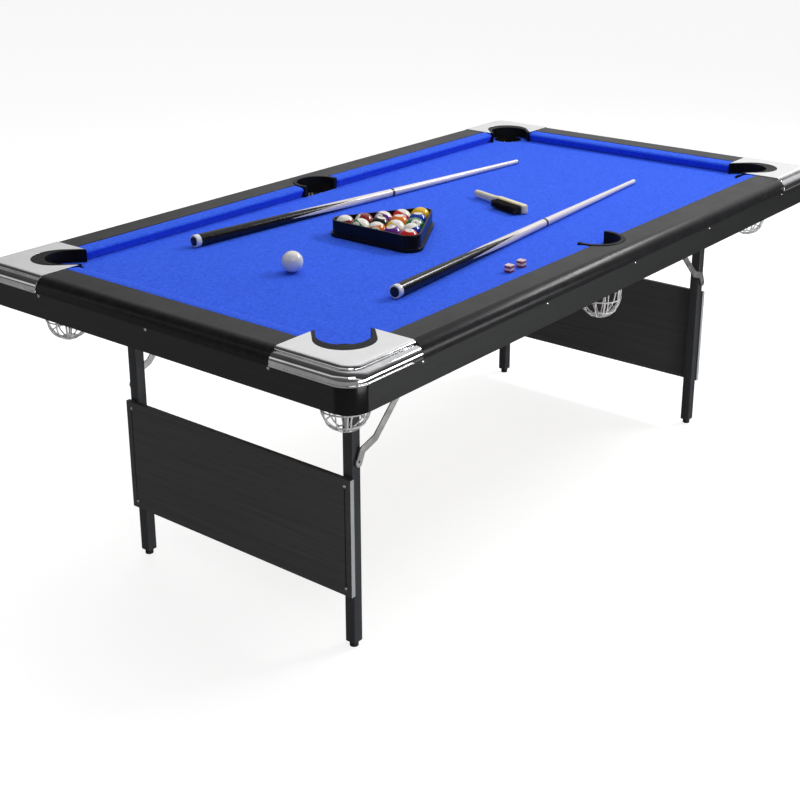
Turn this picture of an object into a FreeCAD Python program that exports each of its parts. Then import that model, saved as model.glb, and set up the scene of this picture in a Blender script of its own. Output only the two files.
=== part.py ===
"""Folding home pool table with its playing set laid out on the bed.

Frame: origin on the floor under the middle of the table, +X along the table from the head end
to the foot end, +Y across it from the near side to the far side, +Z up. Lengths in millimetres.
"""
import FreeCAD, Part
import math
import os
import re

import Sketcher

V = FreeCAD.Vector
DOWN = V(0, 0, -1)
HEAD_FOOT = V(1, 0, 0)
NEAR_FAR = V(0, 1, 0)

SIZES = [
    # the box of the table
    ("body_length", 2130, "over the aprons, lengthways"),
    ("body_width", 1150, "over the aprons, across"),
    ("corner_round", 48, "radius of the body's upright corners"),
    ("apron_base", 712, "height of the aprons' lower edge"),
    ("apron_top", 770, "height of the aprons' upper edge"),
    ("apron_thick", 15, "board thickness of the aprons"),
    ("tab_thick", 6, "corner piece's tabs behind the aprons"),
    ("tab_reach", 34, "how far those tabs reach"),
    ("tab_overlap", 12, "how far those tabs run into the corner"),
    ("bed_base", 760.5, "height of the bed board's underside"),
    ("bed_thick", 15, "bed board"),
    ("board_gap", 0.5, "between the two halves of the bed board"),
    ("cloth_thick", 1.5, "cloth on the bed"),
    ("cloth_tuck", 2, "how far the cloth ends short of the rails"),
    # rails and cushions
    ("rail_top", 807, "height of the rails"),
    ("rail_width", 89, "rail, from its cushion to its outer edge"),
    ("rail_proud", 2, "rail stands out from the apron"),
    ("rail_round", 27, "radius along the rail's outer edge"),
    ("cushion_width", 39, "from the rail to the nose"),
    ("cushion_base", 778, "lowest edge of the cushions"),
    ("cushion_top", 806, "cushion at the rail"),
    ("nose_top", 803, "cushion just behind the nose"),
    ("nose_base", 795, "foot of the nose"),
    ("nose_tall", 4, "upright face of the nose"),
    ("nose_slope", 2, "how far the slope above that face reaches in"),
    ("nose_tuck", 1, "how far the foot of the nose lies behind its face"),
    ("cushion_gap", 1, "beside a cushion's end"),
    ("cushion_foot", 9, "how far the cushion's lower edge lies behind the nose"),
    # pockets
    ("corner_pocket_x", 927, "centre of a corner pocket"),
    ("corner_pocket_y", 438, "centre of a corner pocket"),
    ("corner_hole", 46, "radius of the bed's corner holes"),
    ("mouth_radius", 65, "round back of a corner pocket's mouth, the liner's outside"),
    ("mouth_shift", 7.3, "centre of that round from the pocket's, outwards both ways"),
    ("throat_radius", 57, "round back of the opening in a corner pocket's liner"),
    ("throat_shift", 10, "centre of that round from the pocket's, inwards both ways"),
    ("side_liner_y", 463, "centre of a side pocket's liner"),
    ("side_liner", 70, "outer radius of a side pocket's liner"),
    ("side_hole", 62, "radius of the bed's side holes"),
    ("side_basket_y", 480, "centre of a side pocket's basket"),
    ("liner_wall", 11, "thickness of the liners' collar"),
    ("sleeve_wall", 3, "thickness of the liners' sleeve in the bed"),
    ("liner_top", 808.5, "height of the liners' collar"),
    ("liner_gap", 0.3, "room round a liner"),
    ("basket_rim", 72, "radius of a basket's rim"),
    ("basket_neck", 60, "radius of a basket under its rim"),
    ("basket_bowl", 53, "radius of a basket's bowl"),
    ("basket_centre", 657, "height of the bowl's centre"),
    ("basket_wall", 3, "thickness of a basket"),
    # corner caps
    ("cap_end_x", 852, "where a cap's long arm starts"),
    ("cap_end_y", 363, "where a cap's short arm starts"),
    ("cap_top", 809, "height of the caps"),
    ("cap_round", 30, "radius along a cap's outer edge"),
    ("cap_proud", 4, "cap stands out from the apron"),
    ("cap_wall", 2.5, "thickness of a cap"),
    ("cap_overlap", 4, "how far a cap's plate and its shoulder share their material"),
    ("cap_lip", 1.5, "bead along a cap's lower edge"),
    ("cap_lip_tall", 5, "height of that bead"),
    ("cap_base", 771, "lower edge of the caps"),
    # bed frame
    ("stringer_y", 376, "inner face of the stringers"),
    ("stringer_thick", 24, "stringers and battens"),
    ("stringer_base", 722, "lower edge of the stringers and battens"),
    ("stringer_end", 850, "half the length of a stringer"),
    ("batten_half", 25, "half the width of the middle batten"),
    ("end_batten", 828, "inner face of the end battens"),
    # legs
    ("leg_x", 805, "leg centre, lengthways"),
    ("leg_y", 346.5, "leg centre, across"),
    ("leg_side", 28, "side of the legs' square tube"),
    ("leg_wall", 1.5, "wall of the legs' tube"),
    ("leg_base", 14, "height of the tube's lower end"),
    ("fold_height", 739.5, "height of the legs' fold axis"),
    ("leg_over", 10, "tube above the fold axis"),
    ("leg_bolt", 4, "radius of the fold bolts"),
    ("fit_gap", 0.05, "radial running clearance"),
    ("brace_height", 690, "height of the brace tube between two legs"),
    ("brace_side", 24, "side of the brace tube"),
    ("pad_radius", 10.5, "foot pad"),
    ("plug_gap", 0.2, "foot plug inside the tube"),
    ("plug_tall", 20, "foot plug inside the tube"),
    # hinge brackets
    ("bracket_plate", 3, "thickness of the hinge brackets"),
    ("bracket_half", 22, "half the length of a hinge bracket"),
    ("ear_gap", 0.5, "between a leg and a bracket's ear"),
    ("ear_low", 13, "bracket below the fold axis"),
    ("bolt_head", 6.5, "radius of the fold bolts' heads"),
    ("bolt_head_thick", 4, "thickness of the fold bolts' heads"),
    # leg panels
    ("panel_thick", 12, "board between two legs"),
    ("panel_half", 364.5, "half the width of a panel"),
    ("panel_base", 140, "lower edge of a panel"),
    ("panel_top", 430, "upper edge of a panel"),
    ("panel_screw_in", 18, "screws from the panel's upper and lower edge"),
    # stays and their tracks
    ("rivet_height", 468, "stay's rivet on the leg"),
    ("rivet_radius", 3, "stay's rivet"),
    ("rivet_head", 6, "radius of the rivet's head"),
    ("rivet_head_thick", 1.8, "thickness of the rivet's head"),
    ("rivet_spacer", 7, "radius of the spacer between leg and stay"),
    ("stay_y", 366, "inner face of the stays"),
    ("stay_thick", 3, "thickness of the stays"),
    ("stay_half", 9.5, "half the width of the stays"),
    ("stay_round", 9, "radius at the corners of a stay's ends"),
    ("stay_pin_x", 505, "stay's upper pin, table standing"),
    ("stay_foot_out", 3, "stay's lower end from the rivet, away from the table's middle"),
    ("stay_foot_down", 12, "stay's lower end below the rivet"),
    ("stay_knee_in", 13, "stay's first bend from the rivet, towards the table's middle"),
    ("stay_knee_up", 24, "stay's first bend above the rivet"),
    ("stay_elbow_in", 57, "stay's second bend from the rivet, towards the table's middle"),
    ("stay_elbow_up", 38, "stay's second bend above the rivet"),
    ("stay_tip", 6, "stay's upper end past its pin, both ways"),
    ("pin_play", 0.7, "between a stay's pin and its slot's edges"),
    ("pin_gap", 0.3, "between a stay's pin and its track's face"),
    ("stay_side_gap", 0.1, "beside a stay on its rivet"),
    ("track_y", 372, "inner face of the slotted tracks"),
    ("track_inner", 95, "track's end near the middle of the table"),
    ("track_outer", 520, "track's end near the leg"),
    ("track_half", 16, "half the height of a track"),
    ("slot_half", 5.5, "half the width of a track's slot"),
    ("slot_in", 14, "slot's end from the track's end"),
    # screws
    ("screw_radius", 2, "screw shank"),
    ("screw_head", 3.6, "radius of a screw's head"),
    ("screw_head_thick", 1.4, "thickness of a screw's head"),
    ("screw_length", 13, "screw shank"),
    ("screw_height", 764.5, "apron screws"),
    ("screw_spacing", 393, "between the screws along a side"),
    ("screw_by_cap", 5, "apron screw from a cap's end"),
    # playing set
    ("ball", 52, "diameter of the balls"),
    ("set_gap", 0.3, "between the playing set and what it lies on"),
    ("ball_gap", 0.2, "between two racked balls"),
    ("cue_ball_x", -605, "cue ball"),
    ("cue_ball_y", 1, "cue ball"),
    ("rack_x", -226, "middle of the rack"),
    ("rack_y", 8, "middle of the rack"),
    ("rack_wall", 5, "rack"),
    ("rack_tall", 43, "rack"),
    ("rack_foot", 5, "rack's foot flange stands out"),
    ("rack_foot_tall", 9, "rack's foot flange"),
    ("cue_length", 1270, "cue"),
    ("cue_butt", 16, "radius of a cue's butt"),
    ("cue_tip", 6.5, "radius of a cue's tip"),
    ("cue_butt_x", -611, "cues' butt ends"),
    ("far_cue_y", 332, "butt end of the far cue"),
    ("far_cue_turn", -5.4, "direction of the far cue"),
    ("near_cue_y", -310, "butt end of the near cue"),
    ("near_cue_turn", 5.0, "direction of the near cue"),
    ("brush_x", 190, "middle of the brush"),
    ("brush_y", -32, "middle of the brush"),
    ("brush_turn", 17, "brush, from straight across the table"),
    ("brush_length", 225, "brush"),
    ("brush_wood", 18, "thickness of the brush's wood"),
    ("brush_wide", 26, "width of the brush"),
    ("handle_wide", 20, "width of the brush's handle"),
    ("bristle_span", 116, "length of the bristled part"),
    ("bristle_long", 27, "bristles"),
    ("bristle_margin", 6, "wood beyond the bristles at either end"),
    ("bristle_inset", 2.5, "wood beside the bristles"),
    ("handle_thin", 3, "how much thinner the handle is than the head"),
    ("chalk_side", 18, "chalk cube"),
    ("chalk_x", -286, "first chalk cube"),
    ("chalk_y", -398, "first chalk cube"),
    ("chalk_step", 50, "from one chalk cube to the other"),
]

TOLERANCE = 0.001
CORNER_AXIS = ("body_length / 2 - corner_round", "body_width / 2 - corner_round")
NOSE_Y = "(body_width / 2 + rail_proud - rail_width - cushion_width)"
CLOTH_TOP = "bed_base + bed_thick + cloth_thick"
CORNERS = {
    "near_head": (-1, -1),
    "near_foot": (1, -1),
    "far_foot": (1, 1),
    "far_head": (-1, 1),
}
ENDS = {"head": -1, "foot": 1}
SIDES = {"near": -1, "far": 1}

doc = FreeCAD.newDocument("PoolTable")
sheet = doc.addObject("Spreadsheet::Sheet", "Sizes")
for row, (alias, number, words) in enumerate(SIZES, start=1):
    sheet.set(f"A{row}", words)
    sheet.set(f"B{row}", str(number))
    sheet.setAlias(f"B{row}", alias)
doc.recompute()

ALIASES = re.compile(r"\b(" + "|".join(alias for alias, _, _ in SIZES) + r")\b")
nodes = {}


# ---- parametric helpers ----------------------------------------------------------------------

def formula(text):
    """A formula in the sheet's names, as FreeCAD's expressions write it."""
    return ALIASES.sub(r"Sizes.\1", str(text))


def value(text):
    """What a formula comes to, in millimetres or degrees."""
    return float(sheet.evalExpression(formula(text)))


def bind(thing, **formulas):
    """Binds properties of a document object to formulas."""
    for name, text in formulas.items():
        thing.setExpression(name, formula(text))


def place(thing, x=0, y=0, z=0):
    """Binds where a document object stands."""
    for axis, text in (("x", x), ("y", y), ("z", z)):
        thing.setExpression(f"Placement.Base.{axis}", formula(text))


def keep(name, thing):
    """Makes a document object the sub-part of that name."""
    thing.Label = name
    nodes[name] = thing
    return thing


def ordered(sign, inner, outer):
    """Two formulas of a distance from the middle, as the lower and the higher coordinate."""
    first = f"{sign} * ({inner})"
    second = f"{sign} * ({outer})"
    return (first, second) if sign > 0 else (second, first)


def box(name, low, high):
    """A block between two corners, each three formulas."""
    block = doc.addObject("Part::Box", name)
    spans = [f"({top}) - ({base})" for base, top in zip(low, high)]
    bind(block, Length=spans[0], Width=spans[1], Height=spans[2])
    place(block, *low)
    return block


def cylinder(name, radius, length, base, direction=V(0, 0, 1)):
    """A round bar from its base point along a direction."""
    bar = doc.addObject("Part::Cylinder", name)
    bind(bar, Radius=radius, Height=length)
    bar.Placement = FreeCAD.Placement(V(), FreeCAD.Rotation(V(0, 0, 1), direction))
    place(bar, *base)
    return bar


def fuse(name, *shapes):
    """Several touching solids made one."""
    joined = doc.addObject("Part::MultiFuse", name)
    joined.Shapes = list(shapes)
    return joined


def cut(name, base, tool):
    """One solid less another."""
    rest = doc.addObject("Part::Cut", name)
    rest.Base = base
    rest.Tool = tool
    return rest


def group(name, *shapes):
    """Separate solids that share a node."""
    gathered = doc.addObject("Part::Compound", name)
    gathered.Links = list(shapes)
    return gathered


def mirrored(name, source, normal):
    """A copy on the other side of the table's middle."""
    twin = doc.addObject("Part::Mirroring", name)
    twin.Source = source
    twin.Base = V()
    twin.Normal = normal
    return twin


def four_corners(name, source):
    """The far foot corner's piece and its three mirror images, as sub-parts."""
    far_head = mirrored(f"far_head_{name}", source, HEAD_FOOT)
    near_foot = mirrored(f"near_foot_{name}", source, NEAR_FAR)
    near_head = mirrored(f"near_head_{name}", far_head, NEAR_FAR)
    keep(f"far_foot_{name}", source)
    keep(f"far_head_{name}", far_head)
    keep(f"near_foot_{name}", near_foot)
    keep(f"near_head_{name}", near_head)


def new_body(name):
    """An empty PartDesign body."""
    body = doc.addObject("PartDesign::Body", name)
    body.Label = name
    return body


def sketch_on(body, role, offset="0"):
    """A sketch on one of the body's origin planes, moved along the plane's normal."""
    plane = next(feature for feature in body.Origin.OriginFeatures if feature.Role == role)
    sketch = body.newObject("Sketcher::SketchObject", f"{body.Name}_sketch")
    sketch.AttachmentSupport = [(plane, "")]
    sketch.MapMode = "FlatFace"
    sketch.setExpression("AttachmentOffset.Base.z", formula(offset))
    return sketch


def fix(sketch, kind, *spot_and_text):
    """A dimension of a sketch, bound to a formula."""
    *spot, text = spot_and_text
    number = sketch.addConstraint(Sketcher.Constraint(kind, *spot, value(text)))
    sketch.setExpression(f"Constraints[{number}]", formula(text))


def arc_between(start, finish, radius, turn):
    """An arc from start to finish, anticlockwise if turn is 1 and clockwise if it is -1."""
    middle = (start + finish) * 0.5
    chord = finish - start
    reach = math.sqrt(max(radius ** 2 - chord.Length ** 2 / 4, 0))
    across = V(-chord.y, chord.x, 0).normalize()
    centre = middle + across * reach * turn
    first, last = (start, finish) if turn > 0 else (finish, start)
    begin = math.atan2(first.y - centre.y, first.x - centre.x)
    end = math.atan2(last.y - centre.y, last.x - centre.x)
    return Part.ArcOfCircle(Part.Circle(centre, V(0, 0, 1), radius), begin, end)


def outline(sketch, corners, arcs=None):
    """A closed outline through corners given as formulas.

    arcs gives the sides that are arcs: the side's number, then its radius and its turn.
    """
    arcs = arcs or {}
    spots = [V(value(x), value(y), 0) for x, y in corners]
    ends = []
    for side, start in enumerate(spots):
        finish = spots[(side + 1) % len(spots)]
        if side in arcs:
            radius, turn = arcs[side]
            curve = arc_between(start, finish, value(radius), turn)
        else:
            turn = 1
            curve = Part.LineSegment(start, finish)
        number = sketch.addGeometry(curve, False)
        ends.append((number, 1, 2) if turn > 0 else (number, 2, 1))
    for side, (number, first, _) in enumerate(ends):
        before, _, last = ends[side - 1]
        sketch.addConstraint(Sketcher.Constraint("Coincident", before, last, number, first))
        fix(sketch, "DistanceX", -1, 1, number, first, corners[side][0])
        fix(sketch, "DistanceY", -1, 1, number, first, corners[side][1])
    for side, (radius, _) in arcs.items():
        fix(sketch, "Radius", ends[side][0], radius)


def circle(sketch, x, y, radius):
    """A round outline."""
    round_line = Part.Circle(V(value(x), value(y), 0), V(0, 0, 1), value(radius))
    number = sketch.addGeometry(round_line, False)
    fix(sketch, "DistanceX", -1, 1, number, 3, x)
    fix(sketch, "DistanceY", -1, 1, number, 3, y)
    fix(sketch, "Radius", number, radius)


def pad(body, sketch, length, reverse=False):
    """The sketch pushed out along its normal."""
    feature = body.newObject("PartDesign::Pad", f"{body.Name}_pad")
    feature.Profile = sketch
    feature.Reversed = reverse
    bind(feature, Length=length)
    body.Tip = feature
    return feature


def pocket(body, sketch, length, reverse=False):
    """The sketch cut out of the body, away from its normal unless reversed."""
    doc.recompute()
    before = body.Shape.Volume
    feature = body.newObject("PartDesign::Pocket", f"{body.Name}_pocket")
    feature.Profile = sketch
    feature.Reversed = reverse
    bind(feature, Length=length)
    body.Tip = feature
    doc.recompute()
    if feature.Shape.Volume > before - 1:
        raise RuntimeError(f"{body.Name}: the pocket cuts nothing")
    return feature


def revolve(body, sketch, angle=360, reverse=False):
    """The sketch turned about its own vertical axis."""
    feature = body.newObject("PartDesign::Revolution", f"{body.Name}_turned")
    feature.Profile = sketch
    feature.ReferenceAxis = (sketch, ["V_Axis"])
    feature.Angle = angle
    feature.Reversed = reverse
    body.Tip = feature
    return feature


def round_edges(body, radius, wanted):
    """A fillet on the edges that a test picks."""
    doc.recompute()
    base = body.Tip
    names = [
        f"Edge{number}"
        for number, edge in enumerate(base.Shape.Edges, start=1)
        if wanted(edge)
    ]
    if not names:
        raise RuntimeError(f"{body.Name}: no edge to round")
    feature = body.newObject("PartDesign::Fillet", f"{body.Name}_fillet")
    feature.Base = (base, names)
    bind(feature, Radius=radius)
    body.Tip = feature
    return feature


def runs_along(edge, direction):
    """Whether a straight edge lies along a direction."""
    if not isinstance(edge.Curve, Part.Line):
        return False
    return abs(edge.Curve.Direction.dot(direction)) > 1 - TOLERANCE


def at_corner(edge, corner):
    """Whether an edge stands at a corner of the plan, on either side of the table."""
    spot = edge.CenterOfMass
    return abs(spot.x - corner.x) < TOLERANCE and abs(abs(spot.y) - corner.y) < TOLERANCE


# ---- bed ---------------------------------------------------------------------------------------

def pocket_holes(body, base, depth, ends):
    """The pocket holes through a sheet that lies on the bed, at the ends that it reaches."""
    holes = sketch_on(body, "XY_Plane", base)
    for end, side in CORNERS.values():
        if end in ends:
            circle(holes, f"{end} * corner_pocket_x", f"{side} * corner_pocket_y", "corner_hole")
    half_front = f"sqrt(side_hole ^ 2 - (side_liner_y - {NOSE_Y}) ^ 2)"
    for side in SIDES.values():
        corners = [
            (f"-1 * {half_front}", f"{side} * {NOSE_Y}"),
            (half_front, f"{side} * {NOSE_Y}"),
            ("0", f"{side} * (side_liner_y + side_hole)"),
        ]
        outline(holes, corners, {1: ("side_hole", side), 2: ("side_hole", side)})
    pocket(body, holes, depth, reverse=True)


def make_board():
    """The bed board: two halves that fill the space inside the aprons and meet on the middle batten."""
    half_length = "body_length / 2 - apron_thick"
    half_width = "(body_width / 2 - apron_thick)"
    foot_half = new_body("bed_board_foot_half")
    plan = sketch_on(foot_half, "XY_Plane", "bed_base")
    corners = [
        ("board_gap / 2", f"-1 * {half_width}"),
        (half_length, f"-1 * {half_width}"),
        (half_length, half_width),
        ("board_gap / 2", half_width),
    ]
    outline(plan, corners)
    pad(foot_half, plan, "bed_thick")
    pocket_holes(foot_half, "bed_base", "bed_thick", ends=(1,))
    outside = V(value(half_length), value(half_width), 0)
    round_edges(
        foot_half,
        "corner_round - apron_thick",
        lambda edge: runs_along(edge, DOWN) and at_corner(edge, outside),
    )
    head_half = mirrored("bed_board_head_half", foot_half, HEAD_FOOT)
    keep("foot_bed_board", foot_half)
    keep("head_bed_board", head_half)


def make_cloth():
    """The cloth on the bed: it ends under the cushions and at the pockets."""
    half_length = "(body_length / 2 + rail_proud - rail_width - cloth_tuck)"
    half_width = "(body_width / 2 + rail_proud - rail_width - cloth_tuck)"
    cloth = new_body("bed_cloth")
    plan = sketch_on(cloth, "XY_Plane", "bed_base + bed_thick")
    corners = []
    for x, y in CORNERS.values():
        notch = [
            (f"{x} * {half_length}", f"{y} * corner_pocket_y"),
            (f"{x} * corner_pocket_x", f"{y} * corner_pocket_y"),
            (f"{x} * corner_pocket_x", f"{y} * {half_width}"),
        ]
        corners += notch if x == y else notch[::-1]
    outline(plan, corners)
    pad(cloth, plan, "cloth_thick")
    pocket_holes(cloth, "bed_base + bed_thick", "cloth_thick", ends=ENDS.values())
    keep("bed_cloth", cloth)


# ---- rails and cushions --------------------------------------------------------------------------

def rail_section(sketch, outer, sign=1):
    """A rail's section: rounded outside, sitting on the apron and on the bed board."""
    bed_top = "bed_base + bed_thick"
    edge = f"({outer})"
    corners = [
        (f"{sign} * ({edge} - rail_width)", bed_top),
        (f"{sign} * ({edge} - rail_width)", "rail_top"),
        (f"{sign} * ({edge} - rail_round)", "rail_top"),
        (f"{sign} * {edge}", "rail_top - rail_round"),
        (f"{sign} * {edge}", "apron_top"),
        (f"{sign} * ({edge} - rail_proud - apron_thick)", "apron_top"),
        (f"{sign} * ({edge} - rail_proud - apron_thick)", bed_top),
    ]
    outline(sketch, corners, {2: ("rail_round", -sign)})


def make_rails():
    """Four rails: the long ones make room for the side pockets."""
    side_edge = "body_width / 2 + rail_proud"
    long_rail = new_body("far_rail")
    section = sketch_on(long_rail, "YZ_Plane", "-cap_end_x")
    rail_section(section, side_edge)
    pad(long_rail, section, "2 * cap_end_x")
    notch = sketch_on(long_rail, "XY_Plane", "bed_base")
    circle(notch, "0", "side_liner_y", "side_liner + liner_gap")
    pocket(long_rail, notch, "rail_top", reverse=True)
    keep("far_rail", long_rail)
    keep("near_rail", mirrored("near_rail", long_rail, NEAR_FAR))
    short_rail = new_body("foot_rail")
    section = sketch_on(short_rail, "XZ_Plane", "-cap_end_y")
    rail_section(section, "body_length / 2 + rail_proud")
    pad(short_rail, section, "2 * cap_end_y")
    keep("foot_rail", short_rail)
    keep("head_rail", mirrored("head_rail", short_rail, HEAD_FOOT))


def cushion_section(sketch, back):
    """A cushion's section, from its back at the rail to its nose."""
    corners = [
        (back, "cushion_base"),
        (back, "cushion_top"),
        (f"{back} - cushion_width + nose_slope", "nose_top"),
        (f"{back} - cushion_width", "nose_base + nose_tall"),
        (f"{back} - cushion_width + nose_tuck", "nose_base"),
        (f"{back} - cushion_width + cushion_foot", "cushion_base"),
    ]
    outline(sketch, corners)


def make_cushions():
    """Six cushions: two along each side and one at each end."""
    side_back = "body_width / 2 + rail_proud - rail_width"
    foot_side = new_body("far_foot_cushion")
    section = sketch_on(foot_side, "YZ_Plane", "side_liner + cushion_gap")
    cushion_section(section, side_back)
    pad(foot_side, section, "cap_end_x - side_liner - 2 * cushion_gap")
    head_side = mirrored("far_head_cushion", foot_side, HEAD_FOOT)
    keep("far_foot_cushion", foot_side)
    keep("far_head_cushion", head_side)
    keep("near_foot_cushion", mirrored("near_foot_cushion", foot_side, NEAR_FAR))
    keep("near_head_cushion", mirrored("near_head_cushion", head_side, NEAR_FAR))
    end_back = "body_length / 2 + rail_proud - rail_width"
    foot_end = new_body("foot_cushion")
    section = sketch_on(foot_end, "XZ_Plane", "cushion_gap - cap_end_y")
    cushion_section(section, end_back)
    pad(foot_end, section, "2 * (cap_end_y - cushion_gap)")
    keep("foot_cushion", foot_end)
    keep("head_cushion", mirrored("head_cushion", foot_end, HEAD_FOOT))


# ---- aprons and corners --------------------------------------------------------------------------

def screw(name, at, direction):
    """A screw whose head stands on a face at a point, with its shank going in."""
    inward = direction * -1
    shank = cylinder(f"{name}_shank", "screw_radius", "screw_length", at, inward)
    head = cylinder(f"{name}_head", "screw_head", "screw_head_thick", at, direction)
    return fuse(name, shank, head)


def make_apron_screws():
    """Screws along the aprons' upper edges, one beside each cap and the rest between."""
    screws = []
    for side_name, side in SIDES.items():
        face = f"{side} * body_width / 2"
        for number, along in enumerate(("-1", "0", "1")):
            at = (f"{along} * screw_spacing", face, "screw_height")
            screws.append(screw(f"{side_name}_screw_{number}", at, NEAR_FAR * side))
        for end_name, end in ENDS.items():
            at = (f"{end} * (cap_end_x - screw_by_cap)", face, "screw_height")
            screws.append(screw(f"{side_name}_{end_name}_screw", at, NEAR_FAR * side))
    for end_name, end in ENDS.items():
        face = f"{end} * body_length / 2"
        for number, along in enumerate((-1, 0, 1)):
            at = (face, f"{along} * (cap_end_y - screw_by_cap)", "screw_height")
            screws.append(screw(f"{end_name}_screw_{number}", at, HEAD_FOOT * end))
    return keep("apron_screws", group("apron_screws", *screws))


def make_aprons(screws):
    """Four apron boards with the screws' holes."""
    straight_x = "(body_length / 2 - corner_round)"
    straight_y = "(body_width / 2 - corner_round)"
    for name, side in SIDES.items():
        low, high = ordered(side, "body_width / 2 - apron_thick", "body_width / 2")
        blank = box(
            f"{name}_apron_blank",
            (f"-{straight_x}", low, "apron_base"),
            (straight_x, high, "apron_top"),
        )
        keep(f"{name}_apron", cut(f"{name}_apron", blank, screws))
    for name, end in ENDS.items():
        low, high = ordered(end, "body_length / 2 - apron_thick", "body_length / 2")
        blank = box(
            f"{name}_apron_blank",
            (low, f"-{straight_y}", "apron_base"),
            (high, straight_y, "apron_top"),
        )
        keep(f"{name}_apron", cut(f"{name}_apron", blank, screws))


def turned_about(name, x, y):
    """A body whose upright axis stands at a point of the plan."""
    body = new_body(name)
    place(body, x, y)
    return body


def make_apron_corners():
    """Round corner pieces between the aprons, with tabs behind the boards."""
    bend = turned_about("apron_bend", *CORNER_AXIS)
    section = sketch_on(bend, "XZ_Plane")
    corners = [
        ("corner_round - apron_thick", "apron_base"),
        ("corner_round", "apron_base"),
        ("corner_round", "apron_top"),
        ("corner_round - apron_thick", "apron_top"),
    ]
    outline(section, corners)
    revolve(bend, section, 90)
    long_tab = box(
        "apron_long_tab",
        (
            "body_length / 2 - corner_round - tab_reach",
            "body_width / 2 - apron_thick - tab_thick",
            "apron_base",
        ),
        (
            "body_length / 2 - corner_round + tab_overlap",
            "body_width / 2 - apron_thick",
            "bed_base",
        ),
    )
    short_tab = box(
        "apron_short_tab",
        (
            "body_length / 2 - apron_thick - tab_thick",
            "body_width / 2 - corner_round - tab_reach",
            "apron_base",
        ),
        (
            "body_length / 2 - apron_thick",
            "body_width / 2 - corner_round + tab_overlap",
            "bed_base",
        ),
    )
    far_foot = fuse("far_foot_apron_corner", bend, long_tab, short_tab)
    far_head = mirrored("far_head_apron_corner", far_foot, HEAD_FOOT)
    near_foot = mirrored("near_foot_apron_corner", far_foot, NEAR_FAR)
    near_head = mirrored("near_head_apron_corner", far_head, NEAR_FAR)
    keep("apron_corners", group("apron_corners", far_foot, far_head, near_foot, near_head))


# ---- corner caps ---------------------------------------------------------------------------------

def mouth_corners(shift, radius, inset):
    """A U open to the table: the ends of its two straight sides, and its round back by halves.

    The U points at the table's corner. shift moves its round from the pocket's centre outwards,
    and inset keeps its ends that far inside the cap.
    """
    x = f"(corner_pocket_x + {shift})"
    y = f"(corner_pocket_y + {shift})"
    lean = "(corner_pocket_y - corner_pocket_x)"
    return [
        (f"cap_end_x + {inset}", f"cap_end_x + {inset} + {lean} + sqrt(2) * {radius}"),
        (f"{x} - {radius} / sqrt(2)", f"{y} + {radius} / sqrt(2)"),
        (f"{x} + {radius} / sqrt(2)", f"{y} + {radius} / sqrt(2)"),
        (f"{x} + {radius} / sqrt(2)", f"{y} - {radius} / sqrt(2)"),
        (f"cap_end_y + {inset} - {lean} + sqrt(2) * {radius}", f"cap_end_y + {inset}"),
    ]


def cap_section(sketch, edge):
    """A cap's skin in section: level top, rounded shoulder, upright skirt and a bead below."""
    outer = f"({edge} + cap_proud)"
    corners = [
        (f"{outer} - corner_round + cap_overlap", "cap_top - cap_wall"),
        (f"{outer} - corner_round + cap_overlap", "cap_top"),
        (f"{outer} - cap_round", "cap_top"),
        (outer, "cap_top - cap_round"),
        (outer, "cap_base + cap_lip_tall"),
        (f"{outer} + cap_lip", "cap_base + cap_lip_tall - cap_lip"),
        (f"{outer} + cap_lip", "cap_base"),
        (f"{outer} - cap_wall", "cap_base"),
        (f"{outer} - cap_wall", "cap_top - cap_round"),
        (f"{outer} - cap_round", "cap_top - cap_wall"),
    ]
    outline(sketch, corners, {2: ("cap_round", -1), 8: ("cap_round - cap_wall", 1)})


def make_corner_caps():
    """Bright caps that wrap the corners and hold the corner pockets' liners."""
    long_arm = new_body("cap_long_arm")
    section = sketch_on(long_arm, "YZ_Plane", "cap_end_x")
    cap_section(section, "body_width / 2")
    pad(long_arm, section, "body_length / 2 - corner_round - cap_end_x")
    short_arm = new_body("cap_short_arm")
    section = sketch_on(short_arm, "XZ_Plane", "-(body_width / 2 - corner_round)")
    cap_section(section, "body_length / 2")
    pad(short_arm, section, "body_width / 2 - corner_round - cap_end_y")
    bend = turned_about("cap_bend", *CORNER_AXIS)
    section = sketch_on(bend, "XZ_Plane")
    cap_section(section, "corner_round")
    revolve(bend, section, 90)
    plate = new_body("cap_plate")
    plan = sketch_on(plate, "XY_Plane", "cap_top - cap_wall")
    edge_x = "body_length / 2 - corner_round + cap_proud + cap_overlap"
    edge_y = "body_width / 2 - corner_round + cap_proud + cap_overlap"
    corners = [
        *mouth_corners("mouth_shift", "(mouth_radius + liner_gap)", "0"),
        (edge_x, "cap_end_y"),
        (edge_x, "body_width / 2 - corner_round"),
        CORNER_AXIS,
        ("body_length / 2 - corner_round", edge_y),
        ("cap_end_x", edge_y),
    ]
    mouth_round = ("mouth_radius + liner_gap", -1)
    outline(plan, corners, {1: mouth_round, 2: mouth_round})
    pad(plate, plan, "cap_wall")
    four_corners("corner_cap", fuse("far_foot_corner_cap", plate, long_arm, short_arm, bend))


# ---- pockets -------------------------------------------------------------------------------------

def ring(name, x, y, inner, outer, base, top, start=0, angle=360):
    """An upright ring, or part of one from a start angle on, about a point of the plan."""
    body = new_body(name)
    body.Placement = FreeCAD.Placement(V(), FreeCAD.Rotation(V(0, 0, 1), start))
    place(body, x, y)
    section = sketch_on(body, "XZ_Plane")
    outline(section, [(inner, base), (outer, base), (outer, top), (inner, top)])
    revolve(body, section, angle)
    return body


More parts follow.
